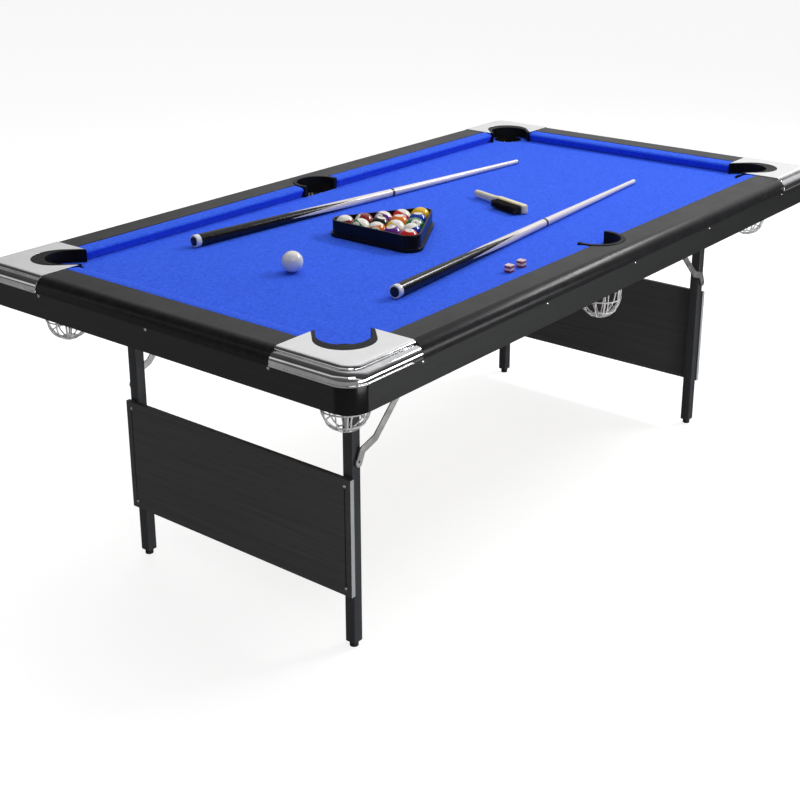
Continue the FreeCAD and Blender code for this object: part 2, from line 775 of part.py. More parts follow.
def make_corner_liners():
    """Black liners of the corner pockets: a U-shaped collar on the bed and a sleeve through it."""
    centre = ("corner_pocket_x", "corner_pocket_y")
    sleeve_outer = "corner_hole - liner_gap"
    sleeve = ring(
        "corner_sleeve", *centre, f"{sleeve_outer} - sleeve_wall", sleeve_outer, "bed_base", CLOTH_TOP
    )
    collar = new_body("corner_collar")
    plan = sketch_on(collar, "XY_Plane", CLOTH_TOP)
    outer = mouth_corners("mouth_shift", "mouth_radius", "liner_gap")
    inner = mouth_corners("-1 * throat_shift", "throat_radius", "liner_gap")
    back = ("mouth_radius", -1)
    front = ("throat_radius", 1)
    outline(plan, outer + inner[::-1], {1: back, 2: back, 6: front, 7: front})
    pad(collar, plan, f"liner_top - ({CLOTH_TOP})")
    four_corners("corner_liner", fuse("far_foot_corner_liner", sleeve, collar))


def make_side_liners():
    """Black liners of the side pockets: a collar behind the nose line and a sleeve in the bed."""
    whole = turned_about("side_whole_liner", "0", "side_liner_y")
    section = sketch_on(whole, "XZ_Plane")
    inner = "side_liner - liner_wall"
    corners = [
        (inner, "bed_base"),
        ("side_hole - liner_gap", "bed_base"),
        ("side_hole - liner_gap", CLOTH_TOP),
        ("side_liner", CLOTH_TOP),
        ("side_liner", "liner_top"),
        (inner, "liner_top"),
    ]
    outline(section, corners)
    revolve(whole, section)
    behind_nose = box(
        "side_behind_nose",
        ("-side_liner - liner_wall", f"{NOSE_Y} + liner_gap", "stringer_base"),
        ("side_liner + liner_wall", "side_liner_y + side_liner + liner_wall", "cap_top"),
    )
    liner = doc.addObject("Part::Common", "far_side_liner")
    liner.Base = whole
    liner.Tool = behind_nose
    keep("far_side_liner", liner)
    keep("near_side_liner", mirrored("near_side_liner", liner, NEAR_FAR))


def basket(name, x, y):
    """A pocket's basket: a bowl under a tapered neck, hung from the bed by its rim."""
    body = turned_about(name, x, y)
    section = sketch_on(body, "XZ_Plane")
    corners = [
        ("0", "basket_centre - basket_bowl"),
        ("basket_bowl", "basket_centre"),
        ("basket_neck", "bed_base - basket_wall"),
        ("basket_rim", "bed_base - basket_wall"),
        ("basket_rim", "bed_base"),
        ("basket_neck - basket_wall", "bed_base"),
        ("basket_bowl - basket_wall", "basket_centre"),
        ("0", "basket_centre - basket_bowl + basket_wall"),
    ]
    outline(section, corners, {0: ("basket_bowl", 1), 6: ("basket_bowl - basket_wall", -1)})
    revolve(body, section)
    return keep(name, body)


def make_baskets():
    """Six alike baskets, one under each pocket."""
    for corner, (end, side) in CORNERS.items():
        basket(f"{corner}_basket", f"{end} * corner_pocket_x", f"{side} * corner_pocket_y")
    for name, side in SIDES.items():
        basket(f"{name}_side_basket", "0", f"{side} * side_basket_y")


# ---- frame under the bed -------------------------------------------------------------------------

def make_bed_frame():
    """Two stringers along the bed and three battens between them."""
    stringers = []
    for name, side in SIDES.items():
        low, high = ordered(side, "stringer_y", "stringer_y + stringer_thick")
        stringers.append(
            box(
                f"{name}_stringer",
                ("-stringer_end", low, "stringer_base"),
                ("stringer_end", high, "bed_base"),
            )
        )
    keep("bed_stringers", group("bed_stringers", *stringers))
    spans = {
        "middle": ("-batten_half", "batten_half"),
        "head": ("-end_batten - stringer_thick", "-end_batten"),
        "foot": ("end_batten", "end_batten + stringer_thick"),
    }
    battens = [
        box(f"{name}_batten", (low, "-stringer_y", "stringer_base"), (high, "stringer_y", "bed_base"))
        for name, (low, high) in spans.items()
    ]
    keep("cross_battens", group("cross_battens", *battens))


def hinge_bracket(name, end, side):
    """A channel under the bed whose two ears hold a leg's fold bolt."""
    body = new_body(name)
    plan = sketch_on(body, "YZ_Plane", f"{end} * leg_x - bracket_half")
    inner = "(leg_y - leg_side / 2 - ear_gap)"
    outer = "(leg_y + leg_side / 2 + ear_gap)"
    foot = "fold_height - ear_low"
    corners = [
        (f"{side} * ({inner} - bracket_plate)", foot),
        (f"{side} * {inner}", foot),
        (f"{side} * {inner}", "bed_base - bracket_plate"),
        (f"{side} * {outer}", "bed_base - bracket_plate"),
        (f"{side} * {outer}", foot),
        (f"{side} * ({outer} + bracket_plate)", foot),
        (f"{side} * ({outer} + bracket_plate)", "bed_base"),
        (f"{side} * ({inner} - bracket_plate)", "bed_base"),
    ]
    outline(plan, corners)
    pad(body, plan, "2 * bracket_half")
    bore = cylinder(
        f"{name}_bore",
        "leg_bolt",
        "leg_side * 2",
        (f"{end} * leg_x", f"{side} * (leg_y - leg_side)", "fold_height"),
        NEAR_FAR * side,
    )
    return cut(f"{name}_drilled", body, bore)


def fold_bolt(name, end, side):
    """A bolt through a bracket and a leg, with its head outside and its nut inside."""
    reach = "(leg_side / 2 + ear_gap + bracket_plate)"
    inner = f"{side} * (leg_y - {reach} - bolt_head_thick)"
    outer = f"{side} * (leg_y + {reach})"
    shank = cylinder(
        f"{name}_shank",
        "leg_bolt",
        f"2 * {reach} + bolt_head_thick",
        (f"{end} * leg_x", inner, "fold_height"),
        NEAR_FAR * side,
    )
    discs = [
        cylinder(
            f"{name}_{word}",
            "bolt_head",
            "bolt_head_thick",
            (f"{end} * leg_x", start, "fold_height"),
            NEAR_FAR * side,
        )
        for word, start in (("head", outer), ("nut", inner))
    ]
    return fuse(name, shank, *discs)


def stay_track(name, end, side):
    """A slotted plate on a stringer along which a stay's upper pin travels."""
    low_x, high_x = ordered(end, "track_inner", "track_outer")
    low_y, high_y = ordered(side, "track_y", "stringer_y")
    plate = box(
        f"{name}_plate",
        (low_x, low_y, "fold_height - track_half"),
        (high_x, high_y, "fold_height + track_half"),
    )
    slot_ends = ordered(end, "track_inner + slot_in", "track_outer - slot_in")
    middle = box(
        f"{name}_slot",
        (slot_ends[0], low_y, "fold_height - slot_half"),
        (slot_ends[1], high_y, "fold_height + slot_half"),
    )
    rounds = [
        cylinder(
            f"{name}_slot_end",
            "slot_half",
            "stringer_y - track_y",
            (x, low_y, "fold_height"),
            NEAR_FAR,
        )
        for x in slot_ends
    ]
    return cut(name, plate, fuse(f"{name}_whole_slot", middle, *rounds))


def make_underside_hardware():
    """Hinge brackets, fold bolts and stay tracks, each kind a group of four."""
    hinges = []
    bolts = []
    tracks = []
    for corner, (end, side) in CORNERS.items():
        hinges.append(hinge_bracket(f"{corner}_bracket", end, side))
        bolts.append(fold_bolt(f"{corner}_bolt", end, side))
        tracks.append(stay_track(f"{corner}_track", end, side))
    keep("leg_hinge_brackets", group("leg_hinge_brackets", *hinges))
    keep("leg_hinge_bolts", group("leg_hinge_bolts", *bolts))
    keep("stay_tracks", group("stay_tracks", *tracks))


# ---- legs ----------------------------------------------------------------------------------------

def square_tube(name, end, side):
    """A leg's hollow tube with the bore for its fold bolt."""
    half = "leg_side / 2"
    x = f"{end} * leg_x"
    y = f"{side} * leg_y"
    top = "fold_height + leg_over"
    outside = box(
        f"{name}_outside",
        (f"{x} - {half}", f"{y} - {half}", "leg_base"),
        (f"{x} + {half}", f"{y} + {half}", top),
    )
    inner = "(leg_side / 2 - leg_wall)"
    inside = box(
        f"{name}_inside",
        (f"{x} - {inner}", f"{y} - {inner}", "leg_base - leg_wall"),
        (f"{x} + {inner}", f"{y} + {inner}", f"{top} - leg_wall"),
    )
    bore = cylinder(
        f"{name}_bore",
        "leg_bolt + fit_gap",
        "leg_side * 2",
        (x, f"{side} * (leg_y - leg_side)", "fold_height"),
        NEAR_FAR * side,
    )
    return outside, fuse(f"{name}_hollow", inside, bore)


def leg_fasteners(name, end):
    """Screws that hold the panel to the legs, and the rivets that carry the stays."""
    pieces = []
    panel_face = f"{end} * (leg_x + leg_side / 2 + panel_thick)"
    for side_name, side in SIDES.items():
        for level, height in (
            ("low", "panel_base + panel_screw_in"),
            ("high", "panel_top - panel_screw_in"),
        ):
            at = (panel_face, f"{side} * leg_y", height)
            pieces.append(screw(f"{name}_{side_name}_{level}", at, HEAD_FOOT * end))
        outward = NEAR_FAR * side
        leg_face = "leg_y + leg_side / 2"
        shank = cylinder(
            f"{name}_{side_name}_rivet_shank",
            "rivet_radius",
            f"stay_y + stay_thick + rivet_head_thick / 2 - ({leg_face})",
            (f"{end} * leg_x", f"{side} * ({leg_face})", "rivet_height"),
            outward,
        )
        spacer = cylinder(
            f"{name}_{side_name}_rivet_spacer",
            "rivet_spacer",
            f"stay_y - stay_side_gap - ({leg_face})",
            (f"{end} * leg_x", f"{side} * ({leg_face})", "rivet_height"),
            outward,
        )
        head = cylinder(
            f"{name}_{side_name}_rivet_head",
            "rivet_head",
            "rivet_head_thick",
            (f"{end} * leg_x", f"{side} * (stay_y + stay_thick + stay_side_gap)", "rivet_height"),
            outward,
        )
        pieces.append(fuse(f"{name}_{side_name}_rivet", shank, spacer, head))
    return keep(name, group(name, *pieces))


def make_legs():
    """At each end a welded frame of two legs, with its panel, foot pads and fasteners."""
    for name, end in ENDS.items():
        fasteners = leg_fasteners(f"{name}_leg_fasteners", end)
        outsides = []
        hollows = []
        pads = []
        for side_name, side in SIDES.items():
            outside, hollow = square_tube(f"{name}_{side_name}_leg", end, side)
            outsides.append(outside)
            hollows.append(hollow)
            pads.append(foot_pad(f"{name}_{side_name}_pad", end, side))
        half = "brace_side / 2"
        brace = box(
            f"{name}_brace",
            (f"{end} * leg_x - {half}", "-leg_y", f"brace_height - {half}"),
            (f"{end} * leg_x + {half}", "leg_y", f"brace_height + {half}"),
        )
        solid = fuse(f"{name}_leg_solid", *outsides, brace)
        tools = fuse(f"{name}_leg_hollows", *hollows)
        tubes = cut(f"{name}_leg_tubes", solid, tools)
        keep(f"{name}_leg_frame", cut(f"{name}_leg_frame", tubes, fasteners))
        keep(f"{name}_foot_pads", group(f"{name}_foot_pads", *pads))
        low, high = ordered(end, "leg_x + leg_side / 2", "leg_x + leg_side / 2 + panel_thick")
        blank = box(
            f"{name}_panel_blank", (low, "-panel_half", "panel_base"), (high, "panel_half", "panel_top")
        )
        keep(f"{name}_leg_panel", cut(f"{name}_leg_panel", blank, fasteners))


def foot_pad(name, end, side):
    """A round foot on a square plug in the tube's end."""
    x = f"{end} * leg_x"
    y = f"{side} * leg_y"
    sole = cylinder(f"{name}_sole", "pad_radius", "leg_base", (x, y, "0"))
    half = "(leg_side / 2 - leg_wall - plug_gap)"
    plug = box(
        f"{name}_plug",
        (f"{x} - {half}", f"{y} - {half}", "leg_base"),
        (f"{x} + {half}", f"{y} + {half}", "leg_base + plug_tall"),
    )
    return fuse(name, sole, plug)


def make_stays():
    """Four cranked flat stays, each turning on a leg's rivet, with a pin at its upper end."""
    for corner, (end, side) in CORNERS.items():
        name = f"{corner}_stay"
        body = new_body(f"{name}_strip")
        inner_face = "-(stay_y + stay_thick)" if side > 0 else "stay_y"
        plan = sketch_on(body, "XZ_Plane", inner_face)
        spine = [
            ("leg_x + stay_foot_out", "rivet_height - stay_foot_down"),
            ("leg_x - stay_knee_in", "rivet_height + stay_knee_up"),
            ("leg_x - stay_elbow_in", "rivet_height + stay_elbow_up"),
            ("stay_pin_x - stay_tip", "fold_height + stay_tip"),
        ]
        strip_outline(plan, spine, end)
        pad(body, plan, "stay_thick")
        tips = [V(end * value(x), 0, value(z)) for x, z in (spine[0], spine[-1])]
        round_edges(body, "stay_round", lambda edge: at_strip_end(edge, tips))
        bore = cylinder(
            f"{name}_bore",
            "rivet_radius + fit_gap",
            "stay_thick * 3",
            (f"{end} * leg_x", f"{side} * (stay_y - stay_thick)", "rivet_height"),
            NEAR_FAR * side,
        )
        pin = cylinder(
            f"{name}_pin",
            "slot_half - pin_play",
            "track_y - stay_y - stay_thick - pin_gap",
            (f"{end} * stay_pin_x", f"{side} * (stay_y + stay_thick)", "fold_height"),
            NEAR_FAR * side,
        )
        keep(name, fuse(name, cut(f"{name}_drilled", body, bore), pin))


def at_strip_end(edge, tips):
    """Whether an edge is one of the upright corners at either end of a strip."""
    spot = V(edge.CenterOfMass.x, 0, edge.CenterOfMass.z)
    near_tip = min((spot - tip).Length for tip in tips) < value("stay_half") + TOLERANCE
    return near_tip and runs_along(edge, NEAR_FAR)


def strip_outline(sketch, spine, end):
    """The outline of a flat strip of even width about a line of points."""
    half = value("stay_half")
    points = [V(value(x), value(z), 0) for x, z in spine]
    left = []
    right = []
    for number, point in enumerate(points):
        before = points[max(number - 1, 0)]
        after = points[min(number + 1, len(points) - 1)]
        into = (point - before if number else after - point).normalize()
        out = (after - point if number < len(points) - 1 else point - before).normalize()
        normal = V(-into.y, into.x, 0) + V(-out.y, out.x, 0)
        normal = normal * (half * 2 / normal.Length ** 2)
        left.append(point + normal)
        right.append(point - normal)
    loop = left + right[::-1]
    for number, corner in enumerate(loop):
        following = loop[(number + 1) % len(loop)]
        line = Part.LineSegment(V(corner.x * end, corner.y, 0), V(following.x * end, following.y, 0))
        sketch.addGeometry(line, False)
    for number in range(len(loop)):
        following = (number + 1) % len(loop)
        sketch.addConstraint(Sketcher.Constraint("Coincident", number, 2, following, 1))


# ---- playing set ---------------------------------------------------------------------------------

def ball(name, x, y):
    """A ball on the cloth."""
    sphere = doc.addObject("Part::Sphere", name)
    bind(sphere, Radius="ball / 2")
    place(sphere, x, y, f"{CLOTH_TOP} + set_gap + ball / 2")
    return sphere


def make_balls():
    """The cue ball, and fifteen balls racked in five rows."""
    keep("cue_ball", ball("cue_ball", "cue_ball_x", "cue_ball_y"))
    pitch = "(ball + ball_gap)"
    rows = 5
    racked = []
    for row_number in range(rows):
        for place_in_row in range(row_number + 1):
            along = f"rack_x + {2 * (rows - 1) / 3 - row_number} * {pitch} * sqrt(3) / 2"
            across = f"rack_y + {place_in_row - row_number / 2} * {pitch}"
            racked.append(ball(f"ball_{row_number}_{place_in_row}", along, across))
    keep("object_balls", group("object_balls", *racked))


def rounded_triangle(sketch, offset):
    """The line at an offset round the triangle of the outermost balls' centres."""
    reach = 4 * (value("ball") + value("ball_gap")) / math.sqrt(3)
    room = value(offset)
    middle = V(value("rack_x"), value("rack_y"), 0)
    bearings = [math.radians(angle) for angle in (0, 120, 240)]
    tips = [middle + V(math.cos(a), math.sin(a), 0) * reach for a in bearings]
    numbers = []
    for number, bearing in enumerate(bearings):
        arc_of = Part.Circle(tips[number], V(0, 0, 1), room)
        numbers.append(
            sketch.addGeometry(
                Part.ArcOfCircle(arc_of, bearing - math.pi / 3, bearing + math.pi / 3), False
            )
        )
        outward = V(math.cos(bearing + math.pi / 3), math.sin(bearing + math.pi / 3), 0) * room
        side = Part.LineSegment(tips[number] + outward, tips[(number + 1) % 3] + outward)
        numbers.append(sketch.addGeometry(side, False))
    for number, curve in enumerate(numbers):
        following = numbers[(number + 1) % len(numbers)]
        sketch.addConstraint(Sketcher.Constraint("Coincident", curve, 2, following, 1))


def make_rack():
    """The triangular rack round the balls, with a foot flange."""
    body = new_body("rack")
    inner = "ball / 2 + ball_gap + set_gap"
    base = f"{CLOTH_TOP} + set_gap"
    wall = sketch_on(body, "XY_Plane", base)
    rounded_triangle(wall, f"{inner} + rack_wall")
    rounded_triangle(wall, inner)
    pad(body, wall, "rack_tall")
    flange = sketch_on(body, "XY_Plane", base)
    rounded_triangle(flange, f"{inner} + rack_wall + rack_foot")
    rounded_triangle(flange, f"{inner} + rack_wall / 2")
    pad(body, flange, "rack_foot_tall")
    keep("rack", body)


def make_cue(name, butt_y, turn):
    """A tapered cue lying on the cloth along its whole length."""
    shaft = doc.addObject("Part::Cone", name)
    bind(shaft, Radius1="cue_butt", Radius2="cue_tip", Height="cue_length")
    slope = math.degrees(math.asin((value("cue_butt") - value("cue_tip")) / value("cue_length")))
    lie = FreeCAD.Rotation(V(0, 0, 1), value(turn)) * FreeCAD.Rotation(V(0, 1, 0), 90 + slope)
    shaft.Placement = FreeCAD.Placement(V(), lie)
    place(shaft, "cue_butt_x", butt_y, f"{CLOTH_TOP} + set_gap + cue_butt")
    keep(name, shaft)


def make_brush():
    """The table brush lying on its side, bristles towards the head end."""
    low = f"{CLOTH_TOP} + set_gap"
    half = "brush_length / 2"
    neck = f"-{half} + bristle_span"
    head = box("brush_head", ("0", f"-{half}", "0"), ("brush_wood", neck, "brush_wide"))
    handle = box(
        "brush_handle",
        ("handle_thin", neck, "(brush_wide - handle_wide) / 2"),
        ("brush_wood", half, "(brush_wide + handle_wide) / 2"),
    )
    bristles = box(
        "brush_bristles",
        ("-bristle_long", f"-{half} + bristle_margin", "bristle_inset"),
        ("0", f"{neck} - bristle_margin", "brush_wide - bristle_inset"),
    )
    wood = fuse("brush_wood_piece", head, handle)
    for name, piece in (("brush_block", wood), ("brush_hair", bristles)):
        laid = group(name, piece)
        laid.Placement = FreeCAD.Placement(V(), FreeCAD.Rotation(V(0, 0, 1), value("-brush_turn")))
        place(laid, "brush_x", "brush_y", low)
        keep(name, laid)


def make_chalk():
    """Two chalk cubes beside the near cue."""
    low = f"{CLOTH_TOP} + set_gap"
    half = "chalk_side / 2"
    cubes = []
    for number in (0, 1):
        middle = f"chalk_x + {number} * chalk_step"
        cubes.append(
            box(
                f"chalk_{number}",
                (f"{middle} - {half}", f"chalk_y - {half}", low),
                (f"{middle} + {half}", f"chalk_y + {half}", f"{low} + chalk_side"),
            )
        )
    keep("chalk_cubes", group("chalk_cubes", *cubes))


# ---- make, check and write -----------------------------------------------------------------------

def check_and_write():
    """Stops on any failed object or bad shape, then writes one file per sub-part."""
    doc.recompute()
    for thing in doc.Objects:
        bad = [word for word in thing.State if word in ("Invalid", "Error")]
        if bad:
            raise RuntimeError(f"{thing.Label} is {bad}")
    for name, thing in nodes.items():
        if thing.Shape.isNull() or not thing.Shape.isValid():
            raise RuntimeError(f"{name} has no valid shape")
    os.makedirs("parts", exist_ok=True)
    for name, thing in nodes.items():
        thing.Shape.exportStep(os.path.join("parts", f"{name}.step"))
        print(f"{name}: {len(thing.Shape.Solids)} solid(s), {thing.Shape.Volume / 1000:.1f} cm3")
    print(len(nodes), "sub-parts")


make_board()
make_cloth()
make_rails()
make_cushions()
make_aprons(make_apron_screws())
make_apron_corners()
make_corner_caps()
make_corner_liners()
make_side_liners()
make_baskets()
make_bed_frame()
make_underside_hardware()
make_legs()
make_stays()
make_balls()
make_rack()
make_cue("far_cue", "far_cue_y", "far_cue_turn")
make_cue("near_cue", "near_cue_y", "near_cue_turn")
make_brush()
make_chalk()
check_and_write()
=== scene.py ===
"""Looks of the folding pool table and of the playing set laid out on it.

Metres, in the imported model's frame: origin on the floor under the middle of the table, +X along
it from the head end to the foot end, +Y from the near side to the far side, +Z up.
"""

import math
import random

import bmesh
import bpy
from mathutils import Matrix, Vector, noise


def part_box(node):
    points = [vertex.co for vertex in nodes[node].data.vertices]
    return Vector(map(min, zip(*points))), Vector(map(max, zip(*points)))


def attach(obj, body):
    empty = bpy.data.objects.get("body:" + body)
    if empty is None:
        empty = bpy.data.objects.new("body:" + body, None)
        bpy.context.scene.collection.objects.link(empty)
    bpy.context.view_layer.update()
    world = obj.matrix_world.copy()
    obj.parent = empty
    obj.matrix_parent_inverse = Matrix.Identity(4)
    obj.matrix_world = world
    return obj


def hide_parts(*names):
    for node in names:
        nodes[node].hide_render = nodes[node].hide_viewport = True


MM = 0.001
CORNERS = {
    "near_head": (-1, -1),
    "near_foot": (1, -1),
    "far_foot": (1, 1),
    "far_head": (-1, 1),
}
ENDS = ("head", "foot")
SIDES = ("near", "far")
X_AXIS = Vector((1, 0, 0))
Z_AXIS = Vector((0, 0, 1))

# bed, cushions and pockets
CORNER_HOLE = 46 * MM
SIDE_HOLE = 62 * MM
SIDE_LINER_Y = 463 * MM
NOSE_Y = 449 * MM
CUSHION_END = 5.01 * MM
CUSHION_WAVE = 0.25 * MM
# section of a cushion: towards the bed, up from the floor, in mm
CUSHION_SECTION = (
    (0, 778), (0, 805), (1.5, 806), (12, 806), (22, 805.6), (30, 804.4), (35, 803), (38, 800.8),
    (39, 798.4), (38.8, 796.4), (37.4, 794.8), (30.5, 778),
)
CAP_LIP = 5.5 * MM
CORNER_ROUND = 48 * MM
PLATE_FROM = 806.5 * MM
MOUTH = 65 * MM
MOUTH_SHIFT = 7.3 * MM
THROAT = 57 * MM
THROAT_SHIFT = -10 * MM
BASKET_RIBS = 10
WIRE_RADIUS = 1.6 * MM
HOOP_RADIUS = 2.4 * MM
HUB = 18 * MM
NECK_IN = 12 * MM
NECK_TALL = 22 * MM
BOWL_IN = 20.5 * MM
WAIST = 34 * MM
LOW_RING = math.radians(38)

# screws and legs
SCREW_HEAD = 3.6 * MM
SCREW_HEAD_TALL = 1.4 * MM
SCREW_STEPS = 10
SCREW_SIDES = 40
# the cross recess, as shares of the head's radius and height
CROSS_HALF = 0.17
CROSS_REACH = 0.62
CROSS_DEEP = 0.6
TUBE_WALL = 1.5 * MM
TUBE_ROUND = 2.6 * MM
BRACE_HALF = 12 * MM
BRACE_HEIGHT = 690 * MM
WELD_BEAD = 1.9 * MM
PLUG_HALF = 12.1 * MM
# a foot pad: radius, height, in mm
FOOT_PROFILE = (
    (0, 0), (9.2, 0), (10.2, 0.6), (10.5, 1.6), (10.5, 4.2), (9.8, 5), (9.8, 6.4), (10.5, 7.2),
    (10.5, 12.6), (10, 13.6), (9, 14), (0, 14),
)

# playing set
RACKED = ((1,), (11, 2), (12, 5, 6), (7, 8, 9, 10), (15, 14, 13, 4, 3))
BALL_COLOURS = (
    (0.88, 0.52, 0.02), (0.01, 0.05, 0.42), (0.68, 0.02, 0.02), (0.14, 0.02, 0.26),
    (0.85, 0.20, 0.02), (0.01, 0.20, 0.07), (0.26, 0.02, 0.02), (0.012, 0.012, 0.013),
)
# how the balls lie, in degrees: range of lean about X, ranges of turn about Z and of tip about Y
LEANS = (-35, 35)
STRIPED_TURNS = ((180, 260), (-40, 25))
PLAIN_TURNS = ((0, 360), (-95, -40))
CUE_BUTT = 16 * MM
CUE_TIP = 6.5 * MM
POINTS_FROM, POINTS_TO = 315 * MM, 545 * MM
# from the tip's end, in mm
FERRULE = 25
TIP = 6
# a cue's rubber bumper: radius, height, in mm
BUMPER_PROFILE = ((0, 0), (5, 0.2), (9.6, 0.9), (11.8, 2), (12.3, 3.4), (0, 3.4))
BRUSH_X = 190 * MM
BRUSH_Y = -32 * MM
BRUSH_TURN = math.radians(-17)
BRUSH_HALF = 13 * MM
# the brush's wood, in mm: along it, half thickness, half width, corner, middle from the hair's side
BRUSH_STATIONS = (
    (-112.5, 5.5, 9.5, 4, 9), (-111.5, 7.5, 11.5, 4.5, 9), (-109, 8.7, 12.7, 5, 9),
    (-104, 9, 13, 5, 9), (-4, 9, 13, 5, 9), (4, 8.7, 12.6, 5, 9.2), (12, 8.0, 11.2, 5, 9.8),
    (22, 7.5, 10, 5, 10.5), (60, 7.3, 9.6, 5.5, 10.5), (94, 7.5, 10, 6, 10.5),
    (106, 7.3, 9.6, 6, 10.5), (110.5, 6, 8, 5, 10.5), (112.5, 3.8, 5.5, 3, 10.5),
)
TUFT_COLUMNS = 22
TUFT_ROWS = 4
# first tuft and room that the tufts take, in mm
TUFT_ALONG = (-103.5, 98)
TUFT_UP = (5.8, 14.4)
TUFT_RADIUS = 2.1
HAIRS = 14
HAIR_LENGTHS = (25.2, 26.9)
HAIR_RADIUS = 0.34 * MM
# a chalk cube, in mm: inset of the outline, height from the bottom or the top, corner
CHALK_FOOT = ((0.8, 0, 1.2), (0, 0.8, 1.6))
CHALK_TOP = (
    (0, -1.2, 1.6), (0.4, -0.3, 1.8), (1.4, 0, 2.2), (2.6, -0.5, 3.5), (4.5, -1.8, 4.5),
    (7, -2.8, 3.4),
)

# floor, light and camera
FLOOR_HALF = 40
FLOOR_SEEN = (0.5, 0.5, 0.5, 1)
FLOOR_GLOW = 0.80
FLOOR_BOUNCE = (0.45, 0.45, 0.45, 1)
FLOOR_FADE = (-2.6, 1.6)
FLOOR_MIRRORED = ((0.0, 0.26), (0.3, 0.22), (0.6, 0.09), (1.0, 0.05))
WORLD_BRIGHT_WAY = (0.75, 0.2, 0.6)
WORLD_ROUND = (
    (0.0, 0.08), (0.37, 0.12), (0.42, 0.75), (0.47, 0.5), (0.52, 0.04), (0.8, 0.07), (0.87, 0.3),
    (0.93, 0.7), (1.0, 0.74),
)
WORLD_UP = ((0.0, 0.6), (0.1, 0.7), (0.25, 1.0), (1.0, 1.0))
# lamps: name, place, aim, size, watts, seen in reflections
LAMPS = (
    ("overhead", (0.4, 0.2, 3.4), (0, 0, 0.8), (4.5, 3.0), 60, False),
    ("near_low", (0.3, -3.4, 0.42), (0, 0, 0.45), (4.0, 0.7), 62, True),
    ("far_strip", (3.1, -1.5, 3.4), (0.0, -0.5, 0.8), (2.2, 0.5), 88, True),
    ("camera_side", (-2.7, -2.9, 3.3), (-0.6, -0.2, 0.8), (1.8, 1.5), 17, True),
)
CAMERA_AT = (-2.894925, -2.153040, 1.772293)
CAMERA_HEADING = 0.668849
CAMERA_PITCH = 0.341889
CAMERA_FOCAL = 1393.737 / 800
CAMERA_SHIFT = (-0.009, -0.1)
CAMERA_SENSOR = 36

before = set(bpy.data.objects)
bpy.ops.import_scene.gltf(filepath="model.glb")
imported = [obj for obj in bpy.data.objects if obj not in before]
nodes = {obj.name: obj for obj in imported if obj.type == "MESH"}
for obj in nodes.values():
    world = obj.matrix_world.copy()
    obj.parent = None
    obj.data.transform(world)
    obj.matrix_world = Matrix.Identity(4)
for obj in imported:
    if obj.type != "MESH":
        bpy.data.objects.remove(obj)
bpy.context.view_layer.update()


# ---- meshes ----

def span(node):
    """Lowest corner, highest corner and middle of a CAD node."""
    low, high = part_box(node)
    return low, high, (low + high) / 2


def skin(mesh, rows, closed_rows=True, closed_loop=True, caps=False):
    """Faces between rows of points.

    closed_loop joins the two ends of each row, and closed_rows joins the last row to the first.
    """
    made = [[mesh.verts.new(point) for point in row] for row in rows]
    count = len(made[0])
    pairs = list(zip(made, made[1:] + made[:1])) if closed_rows else list(zip(made, made[1:]))
    for first, second in pairs:
        for step in range(count if closed_loop else count - 1):
            following = (step + 1) % count
            mesh.faces.new((first[step], first[following], second[following], second[step]))
    if caps:
        mesh.faces.new(made[0][::-1])
        mesh.faces.new(made[-1])
    return made


def lathe(mesh, profile, place=Matrix.Identity(4), steps=48):
    """A turned solid about local Z: profile holds (radius, height), and radius 0 closes an end."""
    rings = []
    for radius, height in profile:
        if radius == 0:
            rings.append([mesh.verts.new(place @ Vector((0, 0, height)))])
            continue
        turns = [2 * math.pi * step / steps for step in range(steps)]
        spots = [Vector((radius * math.cos(a), radius * math.sin(a), height)) for a in turns]
        rings.append([mesh.verts.new(place @ spot) for spot in spots])
    for first, second in zip(rings, rings[1:]):
        for step in range(steps):
            following = (step + 1) % steps
            corners = [first[step % len(first)], first[following % len(first)]]
            corners += [second[following % len(second)], second[step % len(second)]]
            unique = list(dict.fromkeys(corners))
            if len(unique) > 2:
                mesh.faces.new(unique)


def tube(mesh, points, radius, sides=8, closed=False):
    """A round wire along points."""
    rows = []
    count = len(points)
    side_way = None
    for number, point in enumerate(points):
        ahead = points[(number + 1) % count] if closed or number < count - 1 else point
        behind = points[number - 1] if closed or number else point
        along = (ahead - behind).normalized()
        if side_way is None:
            side_way = along.orthogonal()
        side_way = (side_way - along * side_way.dot(along)).normalized()
        other_way = along.cross(side_way)
        turns = [2 * math.pi * step / sides for step in range(sides)]
        rows.append([
            point + (side_way * math.cos(turn) + other_way * math.sin(turn)) * radius
            for turn in turns
        ])
    skin(mesh, rows, closed_rows=closed, caps=not closed)


def arc(centre, radius, start, end, steps):
    """Points on an arc in a plane, angles in degrees."""
    angles = [math.radians(start + (end - start) * step / steps) for step in range(steps + 1)]
    return [(centre[0] + radius * math.cos(a), centre[1] + radius * math.sin(a)) for a in angles]


def rounded_square(half_x, half_y, radius, steps=4):
    """The outline of a rectangle with round corners, anticlockwise."""
    line = []
    for number, (sx, sy) in enumerate(((1, 1), (-1, 1), (-1, -1), (1, -1))):
        centre = (sx * (half_x - radius), sy * (half_y - radius))
        line += arc(centre, radius, 90 * number, 90 * number + 90, steps)
    return line


def mirror(mesh, end, side):
    """Moves a far foot corner's mesh to another corner."""
    bmesh.ops.scale(mesh, vec=(end, side, 1), verts=mesh.verts)
    if end * side < 0:
        bmesh.ops.reverse_faces(mesh, faces=mesh.faces)


def bevelled(thing, width, angle=35, segments=3):
    """Rounds a piece's edges that are sharper than an angle."""
    modifier = thing.modifiers.new("edges", "BEVEL")
    modifier.width = width
    modifier.segments = segments
    modifier.limit_method = "ANGLE"
    modifier.angle_limit = math.radians(angle)
    modifier.harden_normals = False


